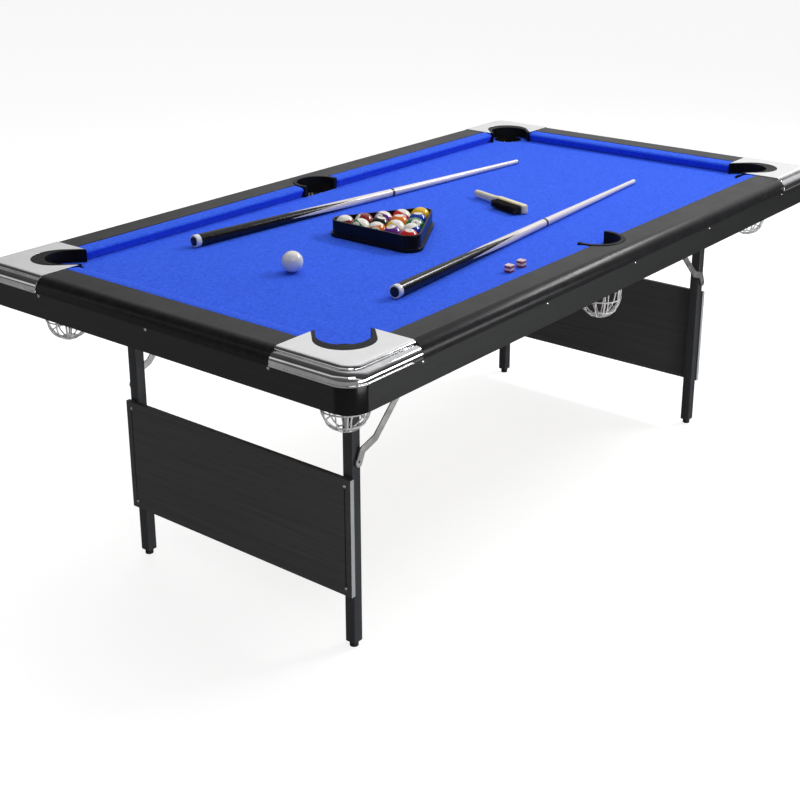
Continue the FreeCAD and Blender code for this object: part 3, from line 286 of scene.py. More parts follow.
def piece(name, mesh, body, material, replaced=(), smooth=35, place=None):
    """A finished piece: its mesh, where it rides, its material and the nodes it stands for."""
    bmesh.ops.recalc_face_normals(mesh, faces=mesh.faces)
    data = bpy.data.meshes.new(name)
    mesh.to_mesh(data)
    mesh.free()
    data.shade_smooth()
    data.set_sharp_from_angle(angle=math.radians(smooth))
    thing = bpy.data.objects.new(name, data)
    bpy.context.scene.collection.objects.link(thing)
    for each in material if isinstance(material, (list, tuple)) else [material]:
        data.materials.append(each)
    if place is not None:
        thing.matrix_world = place
    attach(thing, body)
    if replaced:
        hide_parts(*replaced)
    return thing


def dress(node, material, width=0.0, angle=35, segments=3):
    """Gives a CAD node its material, and a round on its edges if a width is given."""
    thing = nodes[node]
    thing.data.materials.clear()
    thing.data.materials.append(material)
    if width:
        weld = thing.modifiers.new("weld", "WELD")
        weld.merge_threshold = 0.01 * MM
        bevelled(thing, width, angle, segments)
    return thing


# ---- shading ----

def add_node(tree, kind, inputs=(), **settings):
    """A shader node; each of its inputs is another node's output or a number."""
    made = tree.nodes.new(f"ShaderNode{kind}")
    for key, setting in settings.items():
        setattr(made, key, setting)
    for socket, source in dict(inputs).items():
        if isinstance(source, bpy.types.NodeSocket):
            tree.links.new(source, made.inputs[socket])
        else:
            made.inputs[socket].default_value = source
    return made


class Shading:
    """A node material under construction. Numbers that don't vary sit on the shader's sockets."""

    def __init__(self, name, **constants):
        self.material = bpy.data.materials.new(name)
        self.material.use_nodes = True
        self.tree = self.material.node_tree
        self.shader = self.tree.nodes["Principled BSDF"]
        for words, number in constants.items():
            self.shader.inputs[words.replace("_", " ")].default_value = number

    def node(self, kind, inputs=(), **settings):
        return add_node(self.tree, kind, inputs, **settings)

    def spot(self, stretch=(1, 1, 1)):
        """The place on the piece, stretched."""
        where = self.node("TexCoord").outputs["Object"]
        return self.node("Mapping", {"Vector": where, "Scale": stretch}).outputs["Vector"]

    def axes(self):
        """The place on the piece as its three coordinates."""
        where = self.node("TexCoord").outputs["Object"]
        return self.node("SeparateXYZ", {"Vector": where}).outputs

    def noise(self, scale, stretch=(1, 1, 1), detail=4.0, rough=0.55, warp=0.0):
        inputs = {"Vector": self.spot(stretch), "Scale": scale, "Detail": detail}
        inputs |= {"Roughness": rough, "Distortion": warp}
        return self.node("TexNoise", inputs).outputs["Fac"]

    def cells(self, scale):
        return self.node("TexVoronoi", {"Vector": self.spot(), "Scale": scale}).outputs["Distance"]

    def rings(self, scale, stretch):
        inputs = {"Vector": self.spot(stretch), "Scale": scale}
        inputs |= {"Distortion": 5.0, "Detail": 3.0, "Detail Scale": 1.5}
        return self.node("TexWave", inputs, wave_type="BANDS").outputs["Fac"]

    def sum(self, operation, first, second=0.0, third=0.0):
        """The result of an arithmetic operation."""
        return self.node("Math", {0: first, 1: second, 2: third}, operation=operation).outputs[0]

    def between(self, source, low, high, start=0.0, end=1.0):
        """A number that goes from low to high as the source goes from start to end."""
        inputs = {"Value": source, "From Min": start, "From Max": end}
        inputs |= {"To Min": low, "To Max": high}
        return self.node("MapRange", inputs, clamp=True).outputs["Result"]

    def ramp(self, source, dark, light, start=0.3, end=0.7):
        """A colour between two, as the source goes from start to end."""
        made = self.node("ValToRGB", {"Fac": source})
        for element, at, shade in zip(made.color_ramp.elements, (start, end), (dark, light)):
            element.position = at
            element.color = (*shade, 1)
        return made.outputs["Color"]

    def mix(self, share, first, second):
        """The second colour over the first, where the share is 1."""
        return self.node("Mix", {"Factor": share, 6: first, 7: second}, data_type="RGBA").outputs[2]

    def colour(self, source):
        self.tree.links.new(source, self.shader.inputs["Base Color"])

    def gloss(self, source, low, high):
        """Roughness between two numbers, as the source goes from 0.3 to 0.7."""
        rough = self.between(source, low, high, 0.3, 0.7)
        self.tree.links.new(rough, self.shader.inputs["Roughness"])

    def relief(self, height, strength, depth):
        """Bumps as deep as depth, in metres."""
        inputs = {"Height": height, "Strength": strength, "Distance": depth}
        if self.shader.inputs["Normal"].is_linked:
            inputs["Normal"] = self.shader.inputs["Normal"].links[0].from_socket
        bump = self.node("Bump", inputs).outputs["Normal"]
        self.tree.links.new(bump, self.shader.inputs["Normal"])


def surface(
    name, dark, light, gloss, patch=20, grain=900, strength=0.15, depth=0.2 * MM, **constants
):
    """A material with cloudy colour and gloss, and a fine grain."""
    made = Shading(name, **constants)
    clouds = made.noise(patch)
    fine = made.noise(grain, detail=3.0)
    both = made.sum("MULTIPLY_ADD", fine, 0.45, made.sum("MULTIPLY", clouds, 0.55))
    made.colour(made.ramp(both, dark, light))
    made.gloss(clouds, *gloss)
    made.relief(fine, strength, depth)
    return made.material


def wool_cloth(name):
    """Blue billiard cloth: short fibres over a soft mottle."""
    made = Shading(name, Sheen_Weight=0.12, Sheen_Roughness=0.5, Specular_IOR_Level=0.12)
    made.shader.inputs["Sheen Tint"].default_value = (0.35, 0.5, 1.0, 1)
    fibres = made.noise(900, (1, 0.45, 1), detail=6.0, rough=0.7, warp=0.8)
    mottle = made.noise(150, (1, 1, 1), detail=5.0, rough=0.75)
    weave = made.cells(1500)
    blend = made.sum("ADD", made.sum("MULTIPLY", fibres, 0.5), made.sum("MULTIPLY", mottle, 0.5))
    made.colour(made.ramp(blend, (0.014, 0.064, 0.63), (0.047, 0.156, 0.95), 0.40, 0.60))
    made.gloss(mottle, 0.82, 0.95)
    made.relief(fibres, 0.30, 0.25 * MM)
    made.relief(weave, 0.12, 0.12 * MM)
    return made.material


def vinyl(name):
    """Black vinyl with a shallow leather grain."""
    made = Shading(name, Specular_IOR_Level=0.20, Coat_Weight=0.02, Coat_Roughness=0.2)
    folds = made.noise(14)
    pores = made.cells(750)
    made.colour(made.ramp(made.noise(60), (0.010, 0.010, 0.011), (0.019, 0.019, 0.021)))
    made.gloss(folds, 0.27, 0.34)
    made.relief(pores, 0.10, 0.15 * MM)
    made.relief(folds, 0.10, 1.2 * MM)
    return made.material


def laminate(name, dark, light, gloss):
    """Printed board: a faint line grain under a satin film."""
    made = Shading(name)
    lines = made.noise(28, (0.12, 0.12, 6.0), detail=6.0)
    speck = made.noise(700)
    made.colour(made.ramp(lines, dark, light))
    made.gloss(speck, *gloss)
    made.relief(speck, 0.06, 0.1 * MM)
    return made


def panel_board(name):
    """The leg panels: charcoal faces, and a pale grey painted highlight on their upright edges."""
    high = span("head_leg_panel")[1]
    made = laminate(name, (0.068, 0.068, 0.071), (0.094, 0.094, 0.099), (0.42, 0.54))
    across = made.sum("ABSOLUTE", made.axes()[1])
    # the upright edge faces, where a pale grey painted highlight goes over the charcoal
    edge = made.sum("GREATER_THAN", across, high.y - 0.6 * MM)
    face = made.shader.inputs["Base Color"].links[0].from_socket
    made.colour(made.mix(edge, face, (0.42, 0.43, 0.44, 1)))
    return made.material


def bright_metal(name, colour, gloss, grain=400, stretch=(1, 1, 1), strength=0.03):
    """Plated or bare metal with faint cloudy wear and fine drawing marks."""
    made = Shading(name, Metallic=1.0)
    wear = made.noise(35, detail=6.0)
    marks = made.noise(grain, stretch, detail=3.0)
    dim = tuple(c * 0.86 for c in colour)
    made.colour(made.ramp(wear, dim, colour))
    made.gloss(wear, *gloss)
    made.relief(marks, strength, 0.05 * MM)
    return made.material


def cap_chrome(name):
    """Chrome that is brushed satin on the level plate and polished round the edge."""
    made = Shading(name)
    wear = made.noise(30, detail=6.0)
    streaks = made.noise(260, (1, 1, 0.15), detail=3.0)
    plate = made.between(made.axes()[2], 0.0, 1.0, PLATE_FROM, PLATE_FROM + 1.5 * MM)
    polished = made.ramp(wear, (0.72, 0.72, 0.74), (0.92, 0.92, 0.93))
    satin = made.ramp(wear, (0.93, 0.93, 0.94), (0.98, 0.98, 0.98))
    made.colour(made.mix(plate, polished, satin))
    made.tree.links.new(made.between(plate, 1.0, 0.5), made.shader.inputs["Metallic"])
    made.tree.links.new(made.between(plate, 0.05, 0.30), made.shader.inputs["Roughness"])
    made.relief(streaks, 0.03, 0.05 * MM)
    return made.material


def timber(name, dark, light, along, gloss=(0.45, 0.6), coat=0.0):
    """Wood with growth lines along its length."""
    made = Shading(name, Coat_Weight=coat, Coat_Roughness=0.15)
    lines = made.rings(30, along)
    pores = made.noise(260, along, detail=5.0)
    blend = made.sum("ADD", made.sum("MULTIPLY", lines, 0.6), made.sum("MULTIPLY", pores, 0.4))
    made.colour(made.ramp(blend, dark, light, 0.2, 0.8))
    made.gloss(pores, *gloss)
    made.relief(pores, 0.12, 0.15 * MM)
    return made.material


def ball_resin(name, colour, striped, spin=Matrix.Identity(4)):
    """A polished ball turned by spin: a colour all over or as a belt, and two pale spots."""
    radius = BALL / 2
    made = Shading(name, Coat_Weight=0.6, Coat_Roughness=0.03, Roughness=0.12)
    ivory = made.ramp(made.noise(30), (0.80, 0.77, 0.70), (0.88, 0.86, 0.80))
    deep = tuple(c * 0.85 for c in colour)
    paint = made.ramp(made.noise(45), deep, colour)
    where = made.node("TexCoord").outputs["Object"]
    back = tuple(spin.inverted().to_euler())
    own = made.node("Mapping", {"Vector": where, "Rotation": back}).outputs["Vector"]
    x, _, z = made.node("SeparateXYZ", {"Vector": own}).outputs
    spot = made.sum("GREATER_THAN", made.sum("ABSOLUTE", x), radius * math.cos(math.radians(27)))
    if striped:
        belt = made.sum("LESS_THAN", made.sum("ABSOLUTE", z), radius * 0.52)
        paint = made.mix(belt, ivory, paint)
    made.colour(made.mix(spot, paint, ivory))
    made.gloss(made.noise(80), 0.08, 0.16)
    return made.material


def cue_butt(name, points=4):
    """Black lacquered butt that ends in long points over the pale wood."""
    made = Shading(name, Specular_IOR_Level=0.15, Coat_Weight=0.25, Coat_Roughness=0.05)
    x, y, z = made.axes()
    grain = made.noise(70, (1, 1, 0.03), detail=5.0)
    pale = made.ramp(grain, (0.70, 0.64, 0.60), (0.87, 0.83, 0.80))
    black = made.ramp(made.noise(60), (0.006, 0.006, 0.007), (0.013, 0.012, 0.013))
    turn = made.sum("MULTIPLY", made.sum("ARCTAN2", y, x), points / (2 * math.pi))
    wedge = made.sum("ABSOLUTE", made.sum("SUBTRACT", made.sum("FRACT", turn), 0.5))
    reach = made.between(wedge, POINTS_TO, POINTS_FROM, 0.0, 0.5)
    made.colour(made.mix(made.sum("GREATER_THAN", z, reach), black, pale))
    made.gloss(made.noise(120), 0.18, 0.28)
    made.relief(grain, 0.03, 0.1 * MM)
    return made.material


def chalk_paper(name):
    """Red paper round a cube's sides with pale printed bands, and pale pink chalk above it."""
    low, high, _ = span("chalk_cubes")
    made = Shading(name)
    height = made.between(made.axes()[2], 0.0, 1.0, low.z, high.z)
    dust = made.noise(500, detail=6.0)
    chalk = made.ramp(dust, (0.72, 0.50, 0.50), (0.90, 0.74, 0.72))
    red = made.ramp(dust, (0.22, 0.015, 0.03), (0.34, 0.04, 0.06))
    pale = made.ramp(dust, (0.74, 0.48, 0.44), (0.84, 0.64, 0.58))
    middle = made.sum("LESS_THAN", made.sum("ABSOLUTE", made.sum("SUBTRACT", height, 0.45)), 0.16)
    sides = made.mix(middle, red, pale)
    made.colour(made.mix(made.sum("GREATER_THAN", height, 0.84), sides, chalk))
    made.gloss(dust, 0.7, 0.95)
    made.relief(dust, 0.3, 0.2 * MM)
    return made.material


def corners_of(points):
    """Lowest and highest corner of a set of points."""
    across = [[point[axis] for point in points] for axis in range(3)]
    return Vector([min(line) for line in across]), Vector([max(line) for line in across])


def islands(node):
    """Lowest and highest corner of each separate solid in a CAD node, in order along X."""
    mesh = bmesh.new()
    mesh.from_mesh(nodes[node].data)
    bmesh.ops.remove_doubles(mesh, verts=mesh.verts, dist=0.01 * MM)
    left = set(mesh.verts)
    boxes = []
    while left:
        found = [left.pop()]
        for vert in found:
            for edge in vert.link_edges:
                other = edge.other_vert(vert)
                if other in left:
                    left.discard(other)
                    found.append(other)
        boxes.append(corners_of([vert.co for vert in found]))
    mesh.free()
    return sorted(boxes, key=lambda pair: tuple(pair[0]))


# ---- bed and cushions ----

def four_quarters(quarter):
    """A closed outline about the table's middle, from the quarter with positive x and y."""
    line = []
    for number, (end, side) in enumerate(((1, 1), (-1, 1), (-1, -1), (1, -1))):
        for x, y in quarter[::-1] if number % 2 else quarter:
            spot = Vector((end * x, side * y))
            if not line or (spot - line[-1]).length > 0.1 * MM:
                line.append(spot)
    return line[:-1] if (line[0] - line[-1]).length < 0.1 * MM else line


def make_cloth():
    """The cloth glued to the bed, cut round the six pockets."""
    low, high, _ = span("bed_cloth")
    corner = span("far_foot_basket")[2]
    front = (NOSE_Y - SIDE_LINER_Y) / SIDE_HOLE
    back = (high.y - SIDE_LINER_Y) / SIDE_HOLE
    quarter = [(high.x, 0), (high.x, corner.y)]
    quarter += arc(corner, CORNER_HOLE, 0, -270, 40)
    quarter += [(corner.x, high.y)]
    first, last = math.degrees(math.asin(back)), math.degrees(math.asin(front))
    quarter += arc((0, SIDE_LINER_Y), SIDE_HOLE, first, last, 10)
    quarter += [(0, NOSE_Y)]
    line = four_quarters(quarter)
    mesh = bmesh.new()
    faces = [[Vector((*spot, height)) for spot in line] for height in (high.z, low.z)]
    skin(mesh, faces, closed_rows=False, caps=True)
    cloth = piece("bed_cloth_sheet", mesh, "table", CLOTH, ["bed_cloth"])
    bevelled(cloth, 0.4 * MM, segments=2)


def make_cushion(node):
    """A rubber cushion with cloth drawn round it, slightly uneven along its nose."""
    low, high, middle = span(node)
    along_x = high.x - low.x > high.y - low.y
    run, out = (0, 1) if along_x else (1, 0)
    side = 1 if middle[out] > 0 else -1
    back = max(abs(low[out]), abs(high[out]))
    width = high[out] - low[out]
    length = high[run] - low[run]
    near_end = [0, 0.6 * MM, 1.6 * MM, 3.2 * MM, 5 * MM]
    steps = [length * share / 36 for share in range(1, 36)]
    stations = near_end + steps + [length - step for step in near_end[::-1]]
    rows = []
    for station in stations:
        from_end = min(station, length - station, CUSHION_END)
        pulled = CUSHION_END - math.sqrt(CUSHION_END ** 2 - (CUSHION_END - from_end) ** 2)
        row = []
        for inward, height in CUSHION_SECTION:
            share = inward * MM / width
            spot = Vector((0, 0, height * MM))
            spot[run] = low[run] + station
            waves = noise.noise(Vector((spot[run] * 9, side * 3.0, height * 0.05)))
            reach = inward * MM - share * (pulled + CUSHION_WAVE * (1 + waves))
            spot[out] = side * (back - reach)
            row.append(spot)
        rows.append(row)
    mesh = bmesh.new()
    skin(mesh, rows, closed_rows=False, caps=True)
    made = piece(f"{node}_cover", mesh, "table", CLOTH, [node], smooth=40)
    bevelled(made, 0.9 * MM, angle=40)


# ---- corner caps and pockets ----

def mouth(pocket, low, shift, radius, steps):
    """A U that points at the corner, from its end on the long arm's side to the short arm's."""
    x, y = pocket.x + shift, pocket.y + shift
    slant = y - x
    line = [(low.x, low.x + slant + math.sqrt(2) * radius)]
    line += arc((x, y), radius, 135, -45, steps)
    line += [(low.y - slant + math.sqrt(2) * radius, low.y)]
    return line


def make_liner(corner):
    """A corner pocket's liner, with two fine ridges round the top of its collar."""
    end, side = CORNERS[corner]
    low = span("far_foot_corner_cap")[0]
    pocket = span("far_foot_basket")[2]
    top = span("far_foot_corner_liner")[1].z
    dress(f"{corner}_corner_liner", LINER_PLASTIC, 2.5 * MM)
    mesh = bmesh.new()
    for inset in (0.3, 0.62):
        shift = MOUTH_SHIFT + (THROAT_SHIFT - MOUTH_SHIFT) * inset
        radius = MOUTH + (THROAT - MOUTH) * inset
        line = mouth(pocket, low, shift, radius, 40)[1:-1]
        tube(mesh, [Vector((x, y, top - 0.7 * MM)) for x, y in line], 1.1 * MM)
    mirror(mesh, end, side)
    piece(f"{corner}_liner_ridges", mesh, "table", LINER_PLASTIC, smooth=60)


def cap_outline():
    """Section of a cap's outer part: outwards from the apron's face, up from the floor, in mm."""
    line = [(-44, 809), (-34, 809)]
    line += arc((-24, 797), 12, 90, 25, 6)
    line += [(-13.6, 798.3), (-11.3, 798.1)]
    line += arc((-16.5, 779.5), 20.5, 74, 0, 12)
    line += [(4.0, 775.5), (5.0, 774.2), (5.0, 771), (1.5, 771)]
    line += arc((-16.5, 779.5), 18, 0, 78, 8)
    line += [(-15, 799.5), (-24, 806.5), (-44, 806.5)]
    return line


def make_cap(corner):
    """A pressed corner cap: a level plate round the pocket's mouth and a stepped round edge."""
    end, side = CORNERS[corner]
    low, high, _ = span("far_foot_corner_cap")
    axis_x, axis_y = high.x - CAP_LIP - CORNER_ROUND, high.y - CAP_LIP - CORNER_ROUND
    pocket = span("far_foot_basket")[2]
    section = [(out * MM, height * MM) for out, height in cap_outline()]
    quarters = [share / 4 for share in range(5)]
    stations = [((low.x + (axis_x - low.x) * share, axis_y, 0), 90) for share in quarters]
    stations += [((axis_x, axis_y, 0), 90 - 5 * step) for step in range(1, 18)]
    stations += [((axis_x, axis_y + (low.y - axis_y) * share, 0), 0) for share in quarters]
    rows = []
    for foot, turn in stations:
        way = Vector((math.cos(math.radians(turn)), math.sin(math.radians(turn)), 0))
        rows.append([
            Vector(foot) + way * (CORNER_ROUND + out) + Z_AXIS * height for out, height in section
        ])
    mesh = bmesh.new()
    made = skin(mesh, rows, closed_rows=False, closed_loop=False, caps=True)
    inside = mouth(pocket, low, MOUTH_SHIFT, MOUTH + 0.3 * MM, 40)[::-1]
    top, bottom = section[0][1], section[-1][1]
    upper = [mesh.verts.new((x, y, top)) for x, y in inside]
    lower = [mesh.verts.new((x, y, bottom)) for x, y in inside]
    mesh.faces.new([row[0] for row in made] + upper)
    mesh.faces.new(([row[-1] for row in made] + lower)[::-1])
    edge_upper = [made[-1][0]] + upper + [made[0][0]]
    edge_lower = [made[-1][-1]] + lower + [made[0][-1]]
    for step in range(len(edge_upper) - 1):
        mesh.faces.new(edge_upper[step:step + 2] + edge_lower[step:step + 2][::-1])
    mirror(mesh, end, side)
    name = f"{corner}_corner_cap"
    cap = piece(f"{name}_pressing", mesh, "table", CHROME, [name], smooth=30)
    bevelled(cap, 0.5 * MM, angle=32)


def make_basket(node):
    """A basket of welded wire under a pocket: ribs, rings, two stouter hoops and a flat rim."""
    low, high, middle = span(node)
    rim = (high.x - low.x) / 2
    neck = rim - NECK_IN
    bowl = rim - BOWL_IN
    floor = low.z + 2 * MM
    centre = floor + bowl
    foot = Vector((middle.x, middle.y, 0))

    def at(turn, radius, height):
        return foot + Vector((radius * math.cos(turn), radius * math.sin(turn), height))

    def profile(reach):
        """Radius and height along a rib, from the rim down to a distance from the middle."""
        line = [(neck, high.z - 2 * MM), (neck - 1 * MM, high.z - NECK_TALL)]
        line += [(bowl + 1.5 * MM, centre + WAIST), (bowl, centre + 12 * MM)]
        turn = math.acos(reach / bowl)
        turns = [turn * share / 9 for share in range(10)]
        return line + [(bowl * math.cos(a), centre - bowl * math.sin(a)) for a in turns]

    mesh = bmesh.new()
    for rib in range(BASKET_RIBS):
        turn = 2 * math.pi * (rib + 0.5) / BASKET_RIBS
        tube(mesh, [at(turn, r, z) for r, z in profile(HUB)], WIRE_RADIUS)
    hub_height = centre - math.sqrt(bowl ** 2 - HUB ** 2)
    rings = [
        (HUB, hub_height), (bowl * math.cos(LOW_RING), centre - bowl * math.sin(LOW_RING)),
        (bowl + 1 * MM, centre), (bowl + 1.5 * MM, centre + WAIST), (neck, high.z - NECK_TALL),
    ]
    for radius, height in rings:
        ring = [at(2 * math.pi * step / 48, radius, height) for step in range(48)]
        tube(mesh, ring, WIRE_RADIUS, closed=True)
    for turn in (math.radians(45), math.radians(135)):
        half = [at(turn, r - HOOP_RADIUS, z) for r, z in profile(0.001 * MM)]
        other = [at(turn + math.pi, r - HOOP_RADIUS, z) for r, z in profile(0.001 * MM)]
        tube(mesh, half[:-1] + other[::-1][1:], HOOP_RADIUS)
    rim_section = [
        (neck, high.z - 2.5 * MM), (rim - 1 * MM, high.z - 2.5 * MM), (rim, high.z - 2 * MM),
        (rim, high.z - 0.5 * MM), (rim - 0.5 * MM, high.z), (neck, high.z),
    ]
    rows = []
    for step in range(56):
        turn = 2 * math.pi * step / 56
        rows.append([at(turn, r, z) for r, z in rim_section])
    skin(mesh, rows)
    piece(f"{node}_wires", mesh, "table", WIRE, [node], smooth=50)


# ---- screws, rivets and legs ----

def facing(at, way):
    """Where a turned piece stands with its own Z axis along a direction."""
    return Matrix.Translation(at) @ way.to_track_quat("Z", "Y").to_matrix().to_4x4()


def screw_head(mesh, at, way, radius, height):
    """A domed head with a cross recess, standing on a face."""
    place = facing(at, way)
    rows = []
    for share in range(SCREW_STEPS + 1):
        across = radius * (1 - share / SCREW_STEPS)
        dome = height * math.sqrt(max(0.0, 1 - (across / radius) ** 2 * 0.92))
        ring = []
        for step in range(SCREW_SIDES):
            turn = 2 * math.pi * step / SCREW_SIDES
            x, y = across * math.cos(turn), across * math.sin(turn)
            near, far = sorted((abs(x), abs(y)))
            in_cross = near < radius * CROSS_HALF and far < radius * CROSS_REACH
            rise = dome - (height * CROSS_DEEP if in_cross else 0)
            ring.append(place @ Vector((x, y, rise if share else 0)))
        rows.append(ring)
    made = skin(mesh, rows, closed_rows=False)
    bmesh.ops.remove_doubles(mesh, verts=made[-1], dist=0.001 * MM)


def outer_end(low, high):
    """Middle of a fastener's outer end, and the direction in which it looks."""
    size = high - low
    axis = max(range(3), key=lambda number: size[number])
    way = Vector((0, 0, 0))
    at = (low + high) / 2
    way[axis] = 1 if at[axis] > 0 else -1
    at[axis] = high[axis] if at[axis] > 0 else low[axis]
    return at, way


def make_apron_screws():
    mesh = bmesh.new()
    for low, high in islands("apron_screws"):
        at, way = outer_end(low, high)
        screw_head(mesh, at - way * SCREW_HEAD_TALL, way, SCREW_HEAD, SCREW_HEAD_TALL)
    piece("apron_screw_heads", mesh, "table", SCREW_STEEL, ["apron_screws"], 50)


def make_leg_fasteners(end):
    """The panel's screws, and the stays' rivets with the spacer behind each stay."""
    mesh = bmesh.new()
    node = f"{end}_leg_fasteners"
    for low, high in islands(node):
        at, way = outer_end(low, high)
        if abs(way.x) > 0.5:
            screw_head(mesh, at - way * SCREW_HEAD_TALL, way, SCREW_HEAD, SCREW_HEAD_TALL)
            continue
        radius = (high.x - low.x) / 2
        stem = (high - low).y
        profile = [
            (0, 0), (radius, 0), (radius, stem - 5 * MM), (radius * 0.45, stem - 5 * MM),
            (radius * 0.45, stem - 1.8 * MM), (radius * 0.86, stem - 1.8 * MM),
            (radius * 0.86, stem - 1.3 * MM), (radius * 0.7, stem - 0.5 * MM),
            (radius * 0.4, stem - 0.1 * MM), (0, stem),
        ]
        lathe(mesh, profile, facing(at - way * stem, way), steps=36)
    piece(f"{node}_heads", mesh, f"{end}_legs", SCREW_STEEL, [node], smooth=40)


def square_tube(mesh, half, start, length, place):
    """An open square tube along local Z with round corners."""
    outer = rounded_square(half, half, TUBE_ROUND)
    inner = rounded_square(half - TUBE_WALL, half - TUBE_WALL, TUBE_ROUND - TUBE_WALL)
    stop = start + length
    rows = [
        [place @ Vector((x, y, height)) for x, y in line]
        for line, height in ((outer, start), (outer, stop), (inner, stop), (inner, start))
    ]
    skin(mesh, rows)


def make_leg_frame(end):
    """Two legs of square tube and the brace welded between them."""
    node = f"{end}_leg_frame"
    low, high, middle = span(node)
    half = (high.x - low.x) / 2
    leg_y = high.y - half
    mesh = bmesh.new()
    for side in (-1, 1):
        place = Matrix.Translation((middle.x, side * leg_y, 0))
        square_tube(mesh, half, low.z, high.z - low.z, place)
    reach = leg_y - half
    lying = Matrix.Rotation(math.radians(-90), 4, "X")
    across = Matrix.Translation((middle.x, 0, BRACE_HEIGHT)) @ lying
    square_tube(mesh, BRACE_HALF, -reach, 2 * reach, across)
    outline = rounded_square(BRACE_HALF, BRACE_HALF, TUBE_ROUND, 5)
    for side in (-1, 1):
        bead = [across @ Vector((x, y, side * reach)) for x, y in outline]
        tube(mesh, bead, WELD_BEAD, closed=True)
    made = piece(f"{node}_tubes", mesh, f"{end}_legs", LEG_PAINT, [node], smooth=40)
    bevelled(made, 0.35 * MM, angle=60, segments=2)


def make_foot_pads(end):
    node = f"{end}_foot_pads"
    mesh = bmesh.new()
    for low, high in islands(node):
        foot = (low + high) / 2
        place = Matrix.Translation((foot.x, foot.y, low.z))
        lathe(mesh, [(r * MM, z * MM) for r, z in FOOT_PROFILE], place, steps=40)
        plug = rounded_square(PLUG_HALF, PLUG_HALF, 1.5 * MM, 2)
        top = high.z - 0.5 * MM
        rows = [
            [Vector((foot.x + x, foot.y + y, height)) for x, y in plug]
            for height in (low.z + 13 * MM, top)
        ]
        skin(mesh, rows, closed_rows=False, caps=True)
    piece(f"{node}_rubber", mesh, f"{end}_legs", RUBBER, [node], smooth=40)


# ---- playing set ----

def digits(number, radius):
    """Flat digits laid on a ball, on both sides of its own X axis."""
    curve = bpy.data.curves.new(f"digits_{number}", "FONT")
    curve.body = str(number)
    curve.size = radius * 0.56
    curve.align_x = "CENTER"
    curve.align_y = "CENTER"
    curve.resolution_u = 3
    holder = bpy.data.objects.new(f"digits_{number}", curve)
    flat = bpy.data.meshes.new_from_object(holder)
    mesh = bmesh.new()
    mesh.from_mesh(flat)
    bpy.data.objects.remove(holder)
    bpy.data.curves.remove(curve)
    bpy.data.meshes.remove(flat)
    bmesh.ops.triangulate(mesh, faces=mesh.faces)
    bmesh.ops.subdivide_edges(mesh, edges=mesh.edges, cuts=2)
    height = radius + 0.06 * MM
    for vert in mesh.verts:
        x, y = vert.co.x / radius, vert.co.y / radius
        vert.co = Vector((math.sqrt(max(0.0, 1 - x * x - y * y)), x, y)) * height
    front = mesh.verts[:] + mesh.edges[:] + mesh.faces[:]
    back = bmesh.ops.duplicate(mesh, geom=front)["geom"]
    verts = [part for part in back if isinstance(part, bmesh.types.BMVert)]
    bmesh.ops.rotate(mesh, verts=verts, matrix=Matrix.Rotation(math.pi, 3, "Z"))
    return mesh


def make_sphere(name, body, resin, place):
    mesh = bmesh.new()
    bmesh.ops.create_icosphere(mesh, subdivisions=5, radius=BALL / 2)
    piece(name, mesh, body, resin, [body], place=place)


def make_ball(number, centre, spin):
    """A numbered ball, with its number spots on its own X axis and a stripe's poles on Z."""
    colour = BALL_COLOURS[(number - 1) % 8]
    resin = ball_resin(f"ball_{number}_resin", colour, number > 8, spin)
    place = Matrix.Translation(centre)
    make_sphere(f"ball_{number:02d}", "object_balls", resin, place)
    ink = digits(number, BALL / 2)
    bmesh.ops.rotate(ink, verts=ink.verts, matrix=spin.to_3x3())
    piece(f"ball_{number:02d}_number", ink, "object_balls", INK, place=place)


def make_balls():
    """Fifteen racked balls, numbered row by row from the apex, far side first."""
    centres = [(low + high) / 2 for low, high in islands("object_balls")]
    centres.sort(key=lambda c: -c.x)
    dice = random.Random(7)
    start = 0
    for row in RACKED:
        across = sorted(centres[start:start + len(row)], key=lambda c: -c.y)
        start += len(row)
        for number, centre in zip(row, across):
            turns, tips = STRIPED_TURNS if number > 8 else PLAIN_TURNS
            lean = Matrix.Rotation(math.radians(dice.uniform(*LEANS)), 4, "X")
            turn = Matrix.Rotation(math.radians(dice.uniform(*turns)), 4, "Z")
            tip = Matrix.Rotation(math.radians(dice.uniform(*tips)), 4, "Y")
            make_ball(number, centre, turn @ tip @ lean)


def make_cue_ball():
    place = Matrix.Translation(span("cue_ball")[2])
    make_sphere("cue_ball_polished", "cue_ball", CUE_BALL_RESIN, place)


def end_centre(points, way):
    """Middle of the points that lie farthest along a direction."""
    far = max(point.dot(way) for point in points)
    low, high = corners_of([point for point in points if point.dot(way) > far - 0.5 * MM])
    return (low + high) / 2


